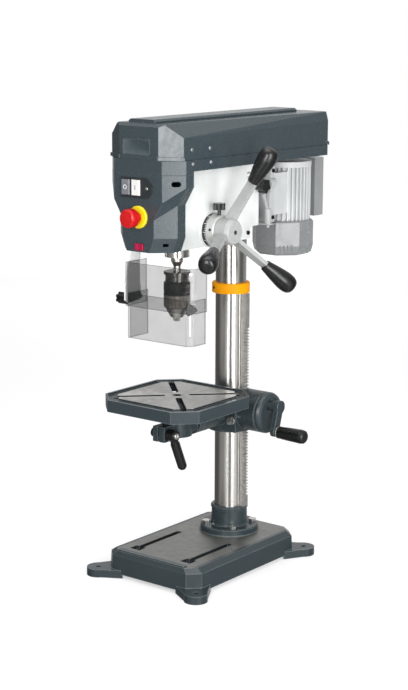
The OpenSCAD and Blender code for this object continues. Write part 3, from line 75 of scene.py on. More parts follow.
camera = bpy.data.objects.new("camera", bpy.data.cameras.new("camera"))
camera.data.lens = CAMERA_LENS
camera_axes = Matrix((rightward, upward, backward)).transposed().to_4x4()
camera.matrix_world = Matrix.Translation(CAMERA_PLACE) @ camera_axes
bpy.context.scene.collection.objects.link(camera)
bpy.context.scene.camera = camera
print("camera at", [round(v, 3) for v in CAMERA_PLACE], "lens", CAMERA_LENS)

# %% [markdown]
# ## Light
# The picture is a studio one: a white sweep, two tall soft boxes at the right and in front that brighten
# the slanted facets of the covers, and soft light from above, from the sides and from behind. A camera
# or a clear panel should see white paper, but paper that bright all round would wash the paint out and
# leave a polished column without a shape. The Light Path node tells the rays apart: the camera sees a
# strength of 1, the light on the machine is weaker, and mirrors see bright strips between dark flags.

# %% Wire nodes and tell the rays apart
scene = bpy.context.scene
scene.view_settings.view_transform = "Standard"
scene.world = bpy.data.worlds.new("studio")
scene.world.use_nodes = True


def wire(tree, kind, inputs=None, **settings):
    """Adds one node to a tree, sets it up, and links or fills its inputs."""
    node = tree.nodes.new("ShaderNode" + kind)
    for key, value in settings.items():
        setattr(node, key, value)
    for key, value in (inputs or {}).items():
        if isinstance(value, bpy.types.NodeSocket):
            tree.links.new(value, node.inputs[key])
        else:
            node.inputs[key].default_value = value
    return node


def seen_directly(tree):
    """1 for rays of the camera, of mirrors and of clear panels, and 0 for the light on the machine."""
    path = wire(tree, "LightPath").outputs
    pair = {0: path["Is Camera Ray"], 1: path["Is Glossy Ray"]}
    either = wire(tree, "Math", pair, operation="MAXIMUM").outputs[0]
    return wire(tree, "Math", {0: either, 1: path["Is Transmission Ray"]}, operation="MAXIMUM").outputs[0]


print("world:", scene.world.name)

# %% [markdown]
# ### Paper, flags and strips
# In a studio, dark flags and bright strips are set up round a polished piece to give it a shape. Panels
# could be modelled for that, but they would also shade the paint and the floor. The world's shader can
# show them to mirrors alone: a colour ramp lays them out by the angle round the machine.

# %% Flags and strips for mirrors
STUDIO_FILL = 0.36
STRIP_LIGHT, OVERHEAD_LIGHT = 1.3, 0.8
OVERHEAD_FROM, OVERHEAD_TO = 0.45, 0.75
WHITE = (1, 1, 1, 1)
# Angle round the machine in degrees, 0 in front and 90 on its right, and how bright a mirror sees it.
FLAGS = (
    (-180, 0.30), (-160, 0.6), (-142, 0.65), (-128, 0.4), (-112, 0.08), (-62, 0.08), (-45, 0.18),
    (-32, 0.26), (-8, 0.28), (3, 0.55), (14, 0.62), (24, 0.5), (33, 0.20), (42, 0.20), (54, 0.5),
    (66, 0.75), (84, 0.75), (98, 0.35), (112, 0.12), (128, 0.12), (150, 0.25), (180, 0.30),
)


def flags_and_strips(tree):
    """What a mirror sees: the dark flags and bright strips round the machine, and pale paper overhead."""
    direction = wire(tree, "TexCoord").outputs["Generated"]
    x, y, z = wire(tree, "SeparateXYZ", {0: direction}).outputs
    front = wire(tree, "Math", {0: y, 1: -1.0}, operation="MULTIPLY").outputs[0]
    turn = wire(tree, "Math", {0: x, 1: front}, operation="ARCTAN2").outputs[0]
    share = wire(tree, "MapRange", {"Value": turn, "From Min": -pi, "From Max": pi}).outputs[0]
    ramp = wire(tree, "ValToRGB", {"Fac": share})
    stops = ramp.color_ramp.elements
    for angle, _ in FLAGS[1:-1]:
        stops.new((angle + 180) / 360)
    for stop, (_, bright) in zip(stops, FLAGS):
        stop.color = (bright, bright, bright, 1)
    strips = wire(tree, "Math", {0: ramp.outputs["Color"], 1: STRIP_LIGHT}, operation="MULTIPLY").outputs[0]
    heights = {"Value": z, "From Min": OVERHEAD_FROM, "From Max": OVERHEAD_TO}
    overhead = wire(tree, "MapRange", heights).outputs[0]
    return wire(tree, "Mix", {0: overhead, 2: strips, 3: OVERHEAD_LIGHT}, data_type="FLOAT").outputs[0]


sky = scene.world.node_tree
sky_shade = sky.nodes["Background"]
direct = seen_directly(sky)
glossy = wire(sky, "LightPath").outputs["Is Glossy Ray"]
mirrored = wire(sky, "Mix", {0: glossy, 2: 1.0, 3: flags_and_strips(sky)}, data_type="FLOAT").outputs[0]
strength = wire(sky, "Mix", {0: direct, 2: STUDIO_FILL, 3: mirrored}, data_type="FLOAT").outputs[0]
sky_shade.inputs["Color"].default_value = WHITE
sky.links.new(strength, sky_shade.inputs["Strength"])
print("flags and strips:", len(FLAGS), "stops")

# %% [markdown]
# ### Soft boxes
# Area lamps are the soft boxes, because a sun or a spot would throw harder shadows. Some of them are
# kept out of mirrors, where their outlines would show as hard bright patches on the column.


# %% Soft boxes round the machine
def soft_box(name, place, target, width, height, power, mirrored=True):
    """A rectangular area lamp at one place that faces another, shown in mirrors or kept out of them."""
    lamp = bpy.data.lights.new(name, "AREA")
    lamp.shape, lamp.size, lamp.size_y, lamp.energy = "RECTANGLE", width, height, power
    holder = bpy.data.objects.new(name, lamp)
    aim = (Vector(target) - Vector(place)).to_track_quat("-Z", "Y")
    holder.matrix_world = Matrix.Translation(place) @ aim.to_matrix().to_4x4()
    holder.visible_glossy = mirrored
    scene.collection.objects.link(holder)


soft_box("right_box", (2.12, -1.225, 0.95), (0, 0, 0.65), 0.9, 1.9, 43)
soft_box("front_box", (0.974, -2.411, 1.1), (0, 0, 0.75), 0.8, 1.5, 34)
soft_box("side_box", (2.4, 0.42, 0.8), (0, 0.1, 0.7), 1.2, 1.6, 20, mirrored=False)
soft_box("top_box", (0.1, -0.3, 2.6), (0, 0, 0.4), 1.8, 1.8, 24)
soft_box("left_box", (-1.9, -1.9, 1.3), (0, 0, 0.6), 1.0, 1.6, 6, mirrored=False)
soft_box("back_box", (-2.6, 3.6, 2.6), (0, 0.1, 0.65), 2.2, 2.2, 64, mirrored=False)

# %% [markdown]
# ## Floor
# The floor is one large sheet, pale like paper. Its shader gives the camera its own glow on top of
# the light that it catches, weak near the machine, so that its soft shadow stays, and stronger where
# the lamps hardly reach, so that the sheet runs into the white background without an edge. The lamps
# light the floor unevenly, so the glow is measured from a point behind the machine. A curved backdrop
# would hide the edge as well, but it would stand in the way of a view from behind. Mirrors look
# through the floor, because a polished column seen from above would show little else.

# %% Lay the floor
FLOOR_SIZE = 12.0
NEAR_GLOW, FAR_GLOW = 0.52, 0.84
NEAR, FAR = 2.5, 3.7
GLOW_CENTRE = (-1.0, 1.3, 0)
FLOOR_DROP = 0.0004
FLOOR_GREY, FLOOR_ROUGHNESS = (0.55, 0.55, 0.55, 1), 0.9

floor_form = bmesh.new()
bmesh.ops.create_grid(floor_form, x_segments=1, y_segments=1, size=FLOOR_SIZE / 2)
floor_mesh = bpy.data.meshes.new("floor")
bmesh.ops.translate(floor_form, verts=floor_form.verts, vec=(0, 0, -FLOOR_DROP))
floor_form.to_mesh(floor_mesh)
floor = bpy.data.objects.new("floor", floor_mesh)
scene.collection.objects.link(floor)
floor.visible_glossy = False
floor_paper = bpy.data.materials.new("floor_paper")
floor_paper.use_nodes = True
tree = floor_paper.node_tree
floor_shade = tree.nodes["Principled BSDF"]
floor_shade.inputs["Roughness"].default_value = FLOOR_ROUGHNESS
floor_shade.inputs["Specular IOR Level"].default_value = 0.0
floor_shade.inputs["Base Color"].default_value = FLOOR_GREY
floor_shade.inputs["Emission Color"].default_value = WHITE
spot_on_floor = wire(tree, "TexCoord").outputs["Object"]
off_centre = {0: spot_on_floor, 1: GLOW_CENTRE}
away = wire(tree, "VectorMath", off_centre, operation="DISTANCE").outputs["Value"]
ends = {"Value": away, "From Min": NEAR, "From Max": FAR, "To Min": NEAR_GLOW, "To Max": FAR_GLOW}
glow_there = wire(tree, "MapRange", ends).outputs[0]
glow = wire(tree, "Math", {0: seen_directly(tree), 1: glow_there}, operation="MULTIPLY").outputs[0]
tree.links.new(glow, floor_shade.inputs["Emission Strength"])
floor_mesh.materials.append(floor_paper)
print("floor of", FLOOR_SIZE, "m")

# %% [markdown]
# ## Finishes
# Each finish is a Principled shader with a few nodes in front of it. The nodes read Object
# coordinates, which are metres on every piece, so a grain of 2 mm is 2 mm everywhere. The small class
# below keeps the wiring short: it makes noise, stretches values, mixes colours, finds edges by
# comparing the real normal with a rounded one, and turns a height into a bump.

# %% A helper for wiring finishes
# Noise keeps near its middle, so one of these parts of its range is stretched over the whole of it.
WIDE, NARROW = (0.3, 0.7), (0.35, 0.65)
# How far a rounded normal agrees with the real one on a flat, and on an edge.
FLAT_AGREES, EDGE_AGREES = 0.99, 0.8


def paint(code):
    """A written colour such as #434c50 as the linear values that a shader takes."""
    shares = [int(code[i : i + 2], 16) / 255 for i in (1, 3, 5)]
    return tuple(s / 12.92 if s <= 0.04045 else ((s + 0.055) / 1.055) ** 2.4 for s in shares) + (1.0,)


class Finish:
    """One material while its nodes are being wired."""

    def __init__(self, name, roughness, metallic=0.0, **sockets):
        self.material = bpy.data.materials.new(name)
        self.material.use_nodes = True
        self.tree = self.material.node_tree
        self.shader = self.tree.nodes["Principled BSDF"]
        self.shader.inputs["Roughness"].default_value = roughness
        self.shader.inputs["Metallic"].default_value = metallic
        for key, value in sockets.items():
            self.shader.inputs[key.replace("_", " ")].default_value = value
        self.place = wire(self.tree, "TexCoord").outputs["Object"]

    def to(self, socket, value):
        self.tree.links.new(value, self.shader.inputs[socket])

    def noise(self, scale, detail=3.0, stretch=(1, 1, 1)):
        spot = wire(self.tree, "Mapping", {"Vector": self.place, "Scale": stretch}).outputs[0]
        return wire(self.tree, "TexNoise", {"Vector": spot, "Scale": scale, "Detail": detail}).outputs["Fac"]

    def stretch(self, value, low, high, to_low=0.0, to_high=1.0):
        ends = {"Value": value, "From Min": low, "From Max": high, "To Min": to_low, "To Max": to_high}
        return wire(self.tree, "MapRange", ends).outputs[0]

    def calc(self, operation, first, second=0.0):
        return wire(self.tree, "Math", {0: first, 1: second}, operation=operation).outputs[0]

    def mix(self, factor, first, second):
        return wire(self.tree, "Mix", {0: factor, 6: first, 7: second}, data_type="RGBA").outputs[2]

    def split(self, origin=(0, 0, 0)):
        """Distances along X, Y and Z from a point, in metres."""
        moved = wire(self.tree, "VectorMath", {0: self.place, 1: origin}, operation="SUBTRACT").outputs[0]
        return wire(self.tree, "SeparateXYZ", {0: moved}).outputs

    def edge(self, radius):
        """0 on flats, rising to 1 on edges that a rounding of that radius would touch."""
        rounded = wire(self.tree, "Bevel", {"Radius": radius}, samples=4).outputs[0]
        flat = wire(self.tree, "NewGeometry").outputs["True Normal"]
        same = wire(self.tree, "VectorMath", {0: rounded, 1: flat}, operation="DOT_PRODUCT").outputs["Value"]
        return self.stretch(same, FLAT_AGREES, EDGE_AGREES)

    def bump(self, height, depth, rounding=0.0):
        """Turns a height into a bump of that depth, over edges softened by the rounding."""
        inputs = {"Height": height, "Strength": 1.0, "Distance": depth}
        if rounding:
            inputs["Normal"] = wire(self.tree, "Bevel", {"Radius": rounding}, samples=4).outputs[0]
        self.to("Normal", wire(self.tree, "Bump", inputs).outputs[0])


def coat(finish, *names):
    """Gives a finish to solids by name, with flat faces and sharp edges left as the CAD has them."""
    for name in names:
        slots = NODES[name].data.materials
        slots.clear()
        slots.append(finish.material)
    return finish


print("solids to coat:", len(NODES))

# %% [markdown]
# ### Painted castings
# The flange, the table's bracket and its support are sand castings under dark grey enamel, and the
# head, the collar and the guard's arm are enamelled too. Thick enamel isn't flat: it has a slight
# orange peel, and it thins on the edges. A picture of paint would need a UV map on every casting, so a
# fine noise in metres gives the peel, a coarse one the slow change of gloss, and the edge mask a pale
# line, partly thin paint and partly a painted highlight along the edges.

# %% Enamel
ENAMEL_CLOUDS, ENAMEL_GLOSS, ENAMEL_PEEL = 14, 45, 380
CLOUD_SHADE = 0.86


def enamel(name, colour, pale, roughness, peel=0.00012, rounding=0.0015):
    """Paint on metal with an orange peel, slow changes of tone, and paler edges that are partly a painted
    highlight.
    """
    f = Finish(name, roughness)
    tone = f.stretch(f.noise(ENAMEL_CLOUDS, 4), *NARROW)
    dark = tuple(c * CLOUD_SHADE for c in paint(colour)[:3]) + (1.0,)
    body = f.mix(tone, dark, paint(colour))
    # The pale edge colour is partly thin paint and partly a painted highlight along the edges.
    f.to("Base Color", f.mix(f.edge(rounding), body, paint(pale)))
    f.to("Roughness", f.stretch(f.noise(ENAMEL_GLOSS, 3), *WIDE, roughness - 0.07, roughness + 0.08))
    f.bump(f.noise(ENAMEL_PEEL, 2), peel, rounding)
    return f


# The castings' pale edge colour is partly thin paint and partly a painted highlight.
CASTING_PAINT, CASTING_EDGE_HIGHLIGHT = "#2f393d", "#8d999e"
casting = coat(
    enamel("casting_enamel", CASTING_PAINT, CASTING_EDGE_HIGHLIGHT, 0.30),
    "column_flange", "table_bracket", "table_support", "crank_arm",
)
coat(enamel("head_enamel", "#dfe2e1", "#f0f1f0", 0.36, 0.00005), "head_casting")
collar = coat(enamel("collar_enamel", "#ee9c00", "#fbb01e", 0.46, 0.00005), "rack_collar")
collar.shader.inputs["Specular IOR Level"].default_value = 0.15
coat(enamel("guard_enamel", "#f4f5f4", "#fafafa", 0.38, 0.00006), "guard_post", "guard_arm")
print("castings painted:", casting.material.name)

# %% [markdown]
# ### Machined iron
# The table and the base top were faced on a machine, and bare iron shows. On the table the cutter ran
# in circles, so light gathers in bright fans that turn round the middle: that is anisotropy, with the
# tangent running round the Z axis. A second material on chosen faces could keep the enamel in the
# gutter and on the rim, but a mask in metres needs no picking of faces.

# %% Half painted, half machined
IRON_CLOUDS, IRON_GRAIN, IRON_PEEL = 16, 60, 420
# The second colour is a darker paint for the recesses: painted shade.
CASTING_SHADE, RECESS_SHADE_PAINT = "#2d363a", "#1f2325"
IRON_METALLIC, GRAIN_SHARE = 0.85, 0.1
PAINT_ROUGHNESS, IRON_ROUGHNESS = 0.28, 0.42
IRON_EDGE, IRON_ROUNDING, PEEL_DEPTH = 0.0018, 0.0012, 0.0001


def part_machined(name, mask_of, recess_shade_of, iron, sheen):
    """Casting enamel outside a mask, with painted shade in the recesses, and bare machined iron inside it."""
    f = Finish(name, 0.3)
    mask, recess_shade = mask_of(f), recess_shade_of(f)
    tone = f.stretch(f.noise(IRON_CLOUDS, 4), *NARROW)
    # The recesses are painted darker: a painted shade, not a colour of the casting.
    skin = f.mix(recess_shade, f.mix(tone, paint(CASTING_SHADE), paint(CASTING_PAINT)), paint(RECESS_SHADE_PAINT))
    # Edges take the pale colour: partly thin paint, partly a painted highlight.
    painted = f.mix(f.edge(IRON_EDGE), skin, paint(CASTING_EDGE_HIGHLIGHT))
    grain = f.stretch(f.noise(IRON_GRAIN, 5), *WIDE)
    bare = f.mix(grain, paint(iron), paint(sheen))
    f.to("Base Color", f.mix(mask, painted, bare))
    f.to("Metallic", f.stretch(mask, 0, 1, 0.0, IRON_METALLIC))
    dull = f.calc("ADD", mask, f.calc("MULTIPLY", grain, GRAIN_SHARE))
    f.to("Roughness", f.stretch(dull, 0, 1 + GRAIN_SHARE, PAINT_ROUGHNESS, IRON_ROUGHNESS))
    f.bump(f.noise(IRON_PEEL, 2), PEEL_DEPTH, IRON_ROUNDING)
    return f


print("roughness of enamel and iron:", PAINT_ROUGHNESS, IRON_ROUGHNESS)

# %% [markdown]
# ### Masks for the iron
# The sizes of the CAD say where the cutter stopped, so each mask compares X, Y and Z with them. A mask
# painted by hand would need a UV map, and its borders would be soft.

# %% Where the iron is bare
TABLE_AXIS = (0, -0.095, 0)
PLATFORM_HALF, PLATFORM_CORNER = 0.1061, 0.1838
TABLE_TOP, BASE_TOP, RIM_INNER, RIM_CORNER = 0.416, 0.060, 0.1275, 0.2135
GUTTER_DEPTH, LEVEL_SLACK = 0.016, 0.0005
SLOT_FIELD, SLOT_BEYOND, BASE_FIELD = 0.092, 0.07, 0.108


def table_mask(f):
    """The raised platform of the table, inside the gutter."""
    x, y, z = f.split(TABLE_AXIS)
    ax, ay = f.calc("ABSOLUTE", x), f.calc("ABSOLUTE", y)
    square = f.calc("LESS_THAN", f.calc("MAXIMUM", ax, ay), PLATFORM_HALF)
    corner = f.calc("LESS_THAN", f.calc("ADD", ax, ay), PLATFORM_CORNER)
    level = f.calc("GREATER_THAN", z, TABLE_TOP - LEVEL_SLACK)
    return f.calc("MULTIPLY", f.calc("MULTIPLY", square, corner), level)


def gutter_shade_mask(f):
    """The floor of the gutter, where the paint is darkened as painted shade."""
    x, y, z = f.split(TABLE_AXIS)
    ax, ay = f.calc("ABSOLUTE", x), f.calc("ABSOLUTE", y)
    square = f.calc("LESS_THAN", f.calc("MAXIMUM", ax, ay), RIM_INNER)
    inside = f.calc("MULTIPLY", square, f.calc("LESS_THAN", f.calc("ADD", ax, ay), RIM_CORNER))
    low = f.calc("LESS_THAN", z, TABLE_TOP - LEVEL_SLACK)
    above = f.calc("GREATER_THAN", z, TABLE_TOP - GUTTER_DEPTH)
    return f.calc("MULTIPLY", f.calc("MULTIPLY", inside, low), above)


def slot_shade_mask(f):
    """The walls and floors of the base's slots, where the paint is darkened as painted shade."""
    x, y, z = f.split()
    ax, ay = f.calc("ABSOLUTE", x), f.calc("ABSOLUTE", y)
    reach = f.calc("MAXIMUM", ax, f.calc("SUBTRACT", ay, SLOT_BEYOND))
    inside = f.calc("LESS_THAN", reach, SLOT_FIELD)
    return f.calc("MULTIPLY", inside, f.calc("LESS_THAN", z, BASE_TOP - LEVEL_SLACK))


def base_mask(f):
    """The faced field of the base between its front lip and the column flange."""
    x, _, z = f.split()
    field = f.calc("LESS_THAN", f.calc("ABSOLUTE", x), BASE_FIELD)
    level = f.calc("GREATER_THAN", z, BASE_TOP - LEVEL_SLACK)
    low = f.calc("LESS_THAN", z, BASE_TOP + LEVEL_SLACK)
    return f.calc("MULTIPLY", f.calc("MULTIPLY", field, level), low)


table_finish = part_machined("table_iron", table_mask, gutter_shade_mask, "#a3a2a0", "#c0bfbd")
coat(table_finish, "table_top")
table_finish.shader.inputs["Anisotropic"].default_value = 0.75
table_finish.to("Tangent", wire(table_finish.tree, "Tangent", direction_type="RADIAL", axis="Z").outputs[0])
coat(part_machined("base_iron", base_mask, slot_shade_mask, "#7c7c79", "#8e8e8b"), "base_plate")
print("machined:", "table_top", "base_plate")

# %% [markdown]
# ### Bright metal
# The column is a ground tube: the wheel left fine rings round it, which spread the light up and down
# into long streaks. Modelled grooves would need far too many faces. Anisotropy gives the streaks with
# few nodes, turned by a quarter so that it spreads along the axis, and a noise squeezed along Z gives
# the rings themselves. Zinc, milled steel, pulleys and blued steel are the same recipe with other
# numbers, but the cast alloy of the feed hub is so dull that the enamel's suits it better. The chuck is
# dark down to its cone, which is bright: a height in metres tells the two apart.

# %% Ground, plated and cast metal
QUARTER_TURN = 0.25
CONE_HEIGHT = 21 * MM
TOOL_MARK_DEPTH, METAL_ROUNDING = 0.00002, 0.0004


def metal(name, colour, shade, roughness, rings=(1, 1, 30), scale=90, spin=None, aniso=0.0):
    """Bare metal with tool marks, and gloss that changes along them."""
    f = Finish(name, roughness, 1.0, Anisotropic=aniso, Anisotropic_Rotation=QUARTER_TURN)
    marks = f.noise(scale, 4, rings)
    f.to("Base Color", f.mix(f.stretch(marks, *WIDE), paint(shade), paint(colour)))
    f.to("Roughness", f.stretch(marks, *WIDE, roughness - 0.04, roughness + 0.06))
    f.bump(marks, TOOL_MARK_DEPTH, METAL_ROUNDING)
    if spin:
        f.to("Tangent", wire(f.tree, "Tangent", direction_type="RADIAL", axis=spin).outputs[0])
    return f


coat(
    metal("ground_column", "#d6d4d0", "#c6c4c0", 0.20, spin="Z", aniso=0.92),
    "column_tube", "quill", "spindle",
)
coat(
    metal("milled_steel", "#b9b7b4", "#9c9a97", 0.34),
    "worm_shaft", "lift_gear", "pinion_shaft", "motor_shaft", "slide_bars", "lid_pins",
)
coat(metal("rack_steel", "#e8e6e2", "#d3d1cd", 0.48, (1, 1, 1), 120), "column_rack")
coat(metal("zinc_plate", "#d9d9d6", "#c2c2be", 0.22, (1, 1, 1), 160), "flange_bolts", "bracket_bolt")
coat(metal("bearing_steel", "#b5b5b4", "#a3a3a2", 0.25), "quill_bearings", "sleeve_bearings")
coat(
    enamel("cast_alloy", "#a7a9a8", "#c9cbca", 0.30, 0.00005, 0.0010),
    "feed_hub", "feed_spokes", "tension_lever",
)
coat(metal("cast_pulley", "#bdbdbc", "#a5a5a4", 0.42), "spindle_pulley", "motor_pulley")
coat(metal("blued_spring", "#6c6c70", "#58585c", 0.3), "return_spring")
chuck = coat(metal("chuck_steel", "#7d7b79", "#5c5a58", 0.24, spin="Z", aniso=0.4), "chuck_body")
cone_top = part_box("chuck_body")[0][2] + CONE_HEIGHT
dark_steel = chuck.shader.inputs["Base Color"].links[0].from_socket
cone = chuck.calc("LESS_THAN", chuck.split()[2], cone_top)
chuck.to("Base Color", chuck.mix(cone, dark_steel, paint("#f4f1ec")))
coat(metal("jaw_steel", "#eae7e2", "#cfccc7", 0.3), "chuck_jaw_a", "chuck_jaw_b", "chuck_jaw_c")
print("chuck cone bright below", round(cone_top / MM), "mm")

# %% [markdown]
# ### Moulded plastic
# The covers are moulded in dark grey plastic with a fine spark-eroded grain, semi-gloss, so the slanted
# facets take the soft box and turn pale while the faces beside them stay dark. The grips and knobs are
# black. The grain is far too small to model, so it is a bump. The motor and its boxes are painted
# metal, so they take the enamel from above.

# %% Plastics
PLASTIC_CLOUDS, PLASTIC_GLOSS, PLASTIC_GRAIN = 9, 70, 1400
PLASTIC_SHADE, EDGE_WEAR_AND_HIGHLIGHT_LIFT = 0.92, 0.012


def moulded(name, colour, roughness, grain=0.00003, rounding=0.0009, edge_wear_and_highlight=1.35, **sockets):
    """Moulded plastic with a fine grain and edges paler by a factor, partly wear and partly a painted
    highlight.
    """
    f = Finish(name, roughness, **sockets)
    base = paint(colour)
    # The worn colour is the paler edge: slight wear, and partly a painted highlight.
    worn = tuple(c * edge_wear_and_highlight + EDGE_WEAR_AND_HIGHLIGHT_LIFT for c in base[:3]) + (1.0,)
    clouds = f.stretch(f.noise(PLASTIC_CLOUDS, 4), *WIDE)
    body = f.mix(clouds, tuple(c * PLASTIC_SHADE for c in base[:3]) + (1.0,), base)
    f.to("Base Color", f.mix(f.edge(rounding), body, worn))
    f.to("Roughness", f.stretch(f.noise(PLASTIC_GLOSS, 3), *WIDE, roughness - 0.05, roughness + 0.06))
    f.bump(f.noise(PLASTIC_GRAIN, 2), grain, rounding)
    return f


COVER = "#343f44"
# The covers' edges are 2.2 times paler: a painted highlight along the lid's edges, with a little wear.
coat(
    moulded("cover_plastic", COVER, 0.26, 0.00003, 0.0014, 2.2, IOR=1.6),
    "front_cover", "belt_tray", "belt_lid", "spring_cap",
)
coat(moulded("plate_plastic", "#24282a", 0.40), "switch_plate")
coat(moulded("stop_plastic", "#6f7378", 0.38), "stop_button")
coat(moulded("start_plastic", "#dededb", 0.38), "start_button")
coat(moulded("ring_plastic", "#e8d318", 0.32), "estop_ring")
coat(moulded("mushroom_plastic", "#bb0b10", 0.26), "estop_button")
coat(moulded("rocker_plastic", "#a3143f", 0.22), "rocker_switch")
black_plastic = coat(
    moulded("grip_plastic", "#111212", 0.26),
    "feed_grips", "crank_grip", "depth_knob", "motor_lock_knob", "guard_knob", "guard_wing", "table_lever",
)
coat(moulded("belt_rubber", "#1b1b1b", 0.7), "drive_belt")
coat(enamel("motor_paint", "#cdd0d0", "#e2e4e4", 0.38, 0.00009), "motor_body")
coat(enamel("bracket_paint", "#bcc0c1", "#d6d9da", 0.38, 0.00009), "motor_bracket")
fan_paint = coat(enamel("fan_paint", "#838687", "#a6a9aa", 0.24, 0.00006), "fan_cover")
coat(enamel("capacitor_paint", "#8d9091", "#acafb0", 0.36, 0.00009), "capacitor_box")
print("finishes so far:", len(bpy.data.materials))

# %% [markdown]
# ### Scale ring
# The depth ring is aluminium with a black band, and the band carries a white mark every few degrees,
# each fifth one longer. Small forms could be set round it, but marks that thin all follow the angle
# round the feed axis, so the shader works the angle out and repeats it.


# %% Marks that follow an angle
def angle_steps(f, origin, across, steps):
    """A sawtooth from 0 to 1 repeated that many times round an axis."""
    place = f.split(origin)
    turn = f.calc("ARCTAN2", place[across[0]], place[across[1]])
    return f.calc("FRACT", f.calc("MULTIPLY", f.calc("ADD", turn, pi), steps / (2 * pi)))


FEED_AXIS = (0.0669, -0.057, 0.7845)
SCALE_BAND, SCALE_MARKS, MARKS_PER_LONG = 0.0098, 60, 5
SHORT_FROM, SHORT_SHARE = 0.0060, 0.24
LONG_FROM, LONG_SHARE = 0.0025, 0.06
ALLOY_METALLIC = 0.35
TURNING_MARKS, MARK_DEPTH, RING_ROUNDING = (90, 3, (30, 1, 1)), 0.00002, 0.0005
ring = Finish("scale_ring", 0.32)
step = angle_steps(ring, FEED_AXIS, (2, 1), SCALE_MARKS)
long_step = angle_steps(ring, FEED_AXIS, (2, 1), SCALE_MARKS / MARKS_PER_LONG)
along = ring.split(FEED_AXIS)[0]
short_line, short_end = ring.calc("LESS_THAN", step, SHORT_SHARE), ring.calc("GREATER_THAN", along, SHORT_FROM)
long_line, long_end = ring.calc("LESS_THAN", long_step, LONG_SHARE), ring.calc("GREATER_THAN", along, LONG_FROM)
short_mark = ring.calc("MULTIPLY", short_line, short_end)
long_mark = ring.calc("MULTIPLY", long_line, long_end)
mark = ring.calc("MAXIMUM", short_mark, long_mark)
band = ring.calc("LESS_THAN", along, SCALE_BAND)
scale = ring.mix(mark, paint("#1b1c1d"), paint("#e8e8e6"))
ring.to("Base Color", ring.mix(band, paint("#bfc0be"), scale))
ring.to("Metallic", ring.calc("MULTIPLY", ring.calc("SUBTRACT", 1.0, band), ALLOY_METALLIC))
ring.bump(ring.noise(*TURNING_MARKS), MARK_DEPTH, RING_ROUNDING)
coat(ring, "depth_ring")
print("scale marks:", SCALE_MARKS)

# %% [markdown]
# ### Chuck sleeve
# The chuck's sleeve is blackened and fluted, and its lower half, where hands and chips rub, is worn back
# to brown steel. The broad flutes are in the CAD, and the angle round the chuck adds finer ones as a
# bump. A height in metres blends the worn half in, where two materials would meet in a hard line.

# %% Flutes and wear on the chuck's sleeve
CHUCK_AXIS = (0, -0.095, 0)
SLEEVE_FLUTES, FLUTE_DEPTH = 40, 0.0012
WORN_FROM, WORN_FULLY = 0.6425, 0.6405
sleeve = Finish("chuck_sleeve", 0.34, 0.9)
flute = angle_steps(sleeve, CHUCK_AXIS, (1, 0), SLEEVE_FLUTES)
ridge = sleeve.calc("ABSOLUTE", sleeve.calc("SUBTRACT", flute, 0.5))
grime = sleeve.stretch(sleeve.noise(120, 4), *WIDE)
height = sleeve.split(CHUCK_AXIS)[2]
worn_low = sleeve.stretch(height, WORN_FROM, WORN_FULLY)
dark = sleeve.mix(grime, paint("#1f1f20"), paint("#343435"))
worn = sleeve.mix(grime, paint("#8d857c"), paint("#b0a89e"))
sleeve.to("Base Color", sleeve.mix(worn_low, dark, worn))
sleeve.bump(ridge, FLUTE_DEPTH)
coat(sleeve, "chuck_sleeve")
print("flutes:", SLEEVE_FLUTES)

# %% [markdown]
# ### Clear guard
# The guard is two folded sheets of clear plastic with a slight smoke tint. Real sheet shows mostly at
# its edges and folds, where one looks along it, so the shader lets most light through on its faces and
# little at the edges, with a glossy skin. Layer Weight deepens the tint where the sheet turns away.
# Glass that bends light would be truer, but a thin flat sheet hardly shifts what lies behind it, and
# alpha gives a cleaner picture in the same time.

# %% See-through sheet
TINT_LOW, TINT_HIGH, GRAZE_TINT = 0.21, 0.24, 0.02
EDGE_WIDTH, EDGE_TINT = 0.003, 0.85

clear = Finish("guard_clear", 0.06, IOR=1.49)
clear.material.surface_render_method = "BLENDED"
rim = clear.edge(EDGE_WIDTH)
graze = wire(clear.tree, "LayerWeight", {"Blend": 0.3}).outputs["Facing"]
tint = clear.stretch(clear.noise(30, 3), *WIDE, TINT_LOW, TINT_HIGH)
tint = clear.calc("ADD", tint, clear.calc("MULTIPLY", graze, GRAZE_TINT))
clear.to("Alpha", clear.calc("MAXIMUM", tint, clear.calc("MULTIPLY", rim, EDGE_TINT)))
clear.to("Base Color", clear.mix(rim, paint("#333535"), paint("#2c2e2e")))
coat(clear, "guard_upper", "guard_lower")
bare = [n for n, o in NODES.items() if not o.data.materials or not o.data.materials[0].use_nodes]
print("solids without a finish:", bare)

# %% [markdown]
# ## Small fittings
# Screws, marks and trim are too small for the CAD, but the eye looks for them. Each is made near the
# origin with +Z as its outward side, and then turned and moved onto the surface that carries it.
# Most of them are round. A cylinder could be cut and bevelled into shape, but it is shorter to draw
# half of the outline and spin it round Z, as on a lathe. A cap screw then gets a hexagon in its open
# top, bridged to the rim and pushed down.

# %% Turned forms and screws
SINK = 0.6
SCREW_STEPS, SCREW_SHOULDER, SCREW_CHAMFER = 24, 0.7, 0.86
SOCKET_RIM, SOCKET_SIZE, SOCKET_DEPTH = 0.56, 0.92, 0.6


def turned_form(profile, steps):
    """Spins a profile of (radius, height) points in millimetres round Z."""
    form = bmesh.new()
    corners = [form.verts.new((r * MM, 0, z * MM)) for r, z in profile]
    lines = [form.edges.new(pair) for pair in zip(corners, corners[1:])]
    bmesh.ops.spin(
        form, geom=corners + lines, cent=(0, 0, 0), axis=(0, 0, 1), angle=2 * pi, steps=steps, use_merge=True
    )
    bmesh.ops.remove_doubles(form, verts=form.verts, dist=1e-7)
    bmesh.ops.recalc_face_normals(form, faces=form.faces)
    return form


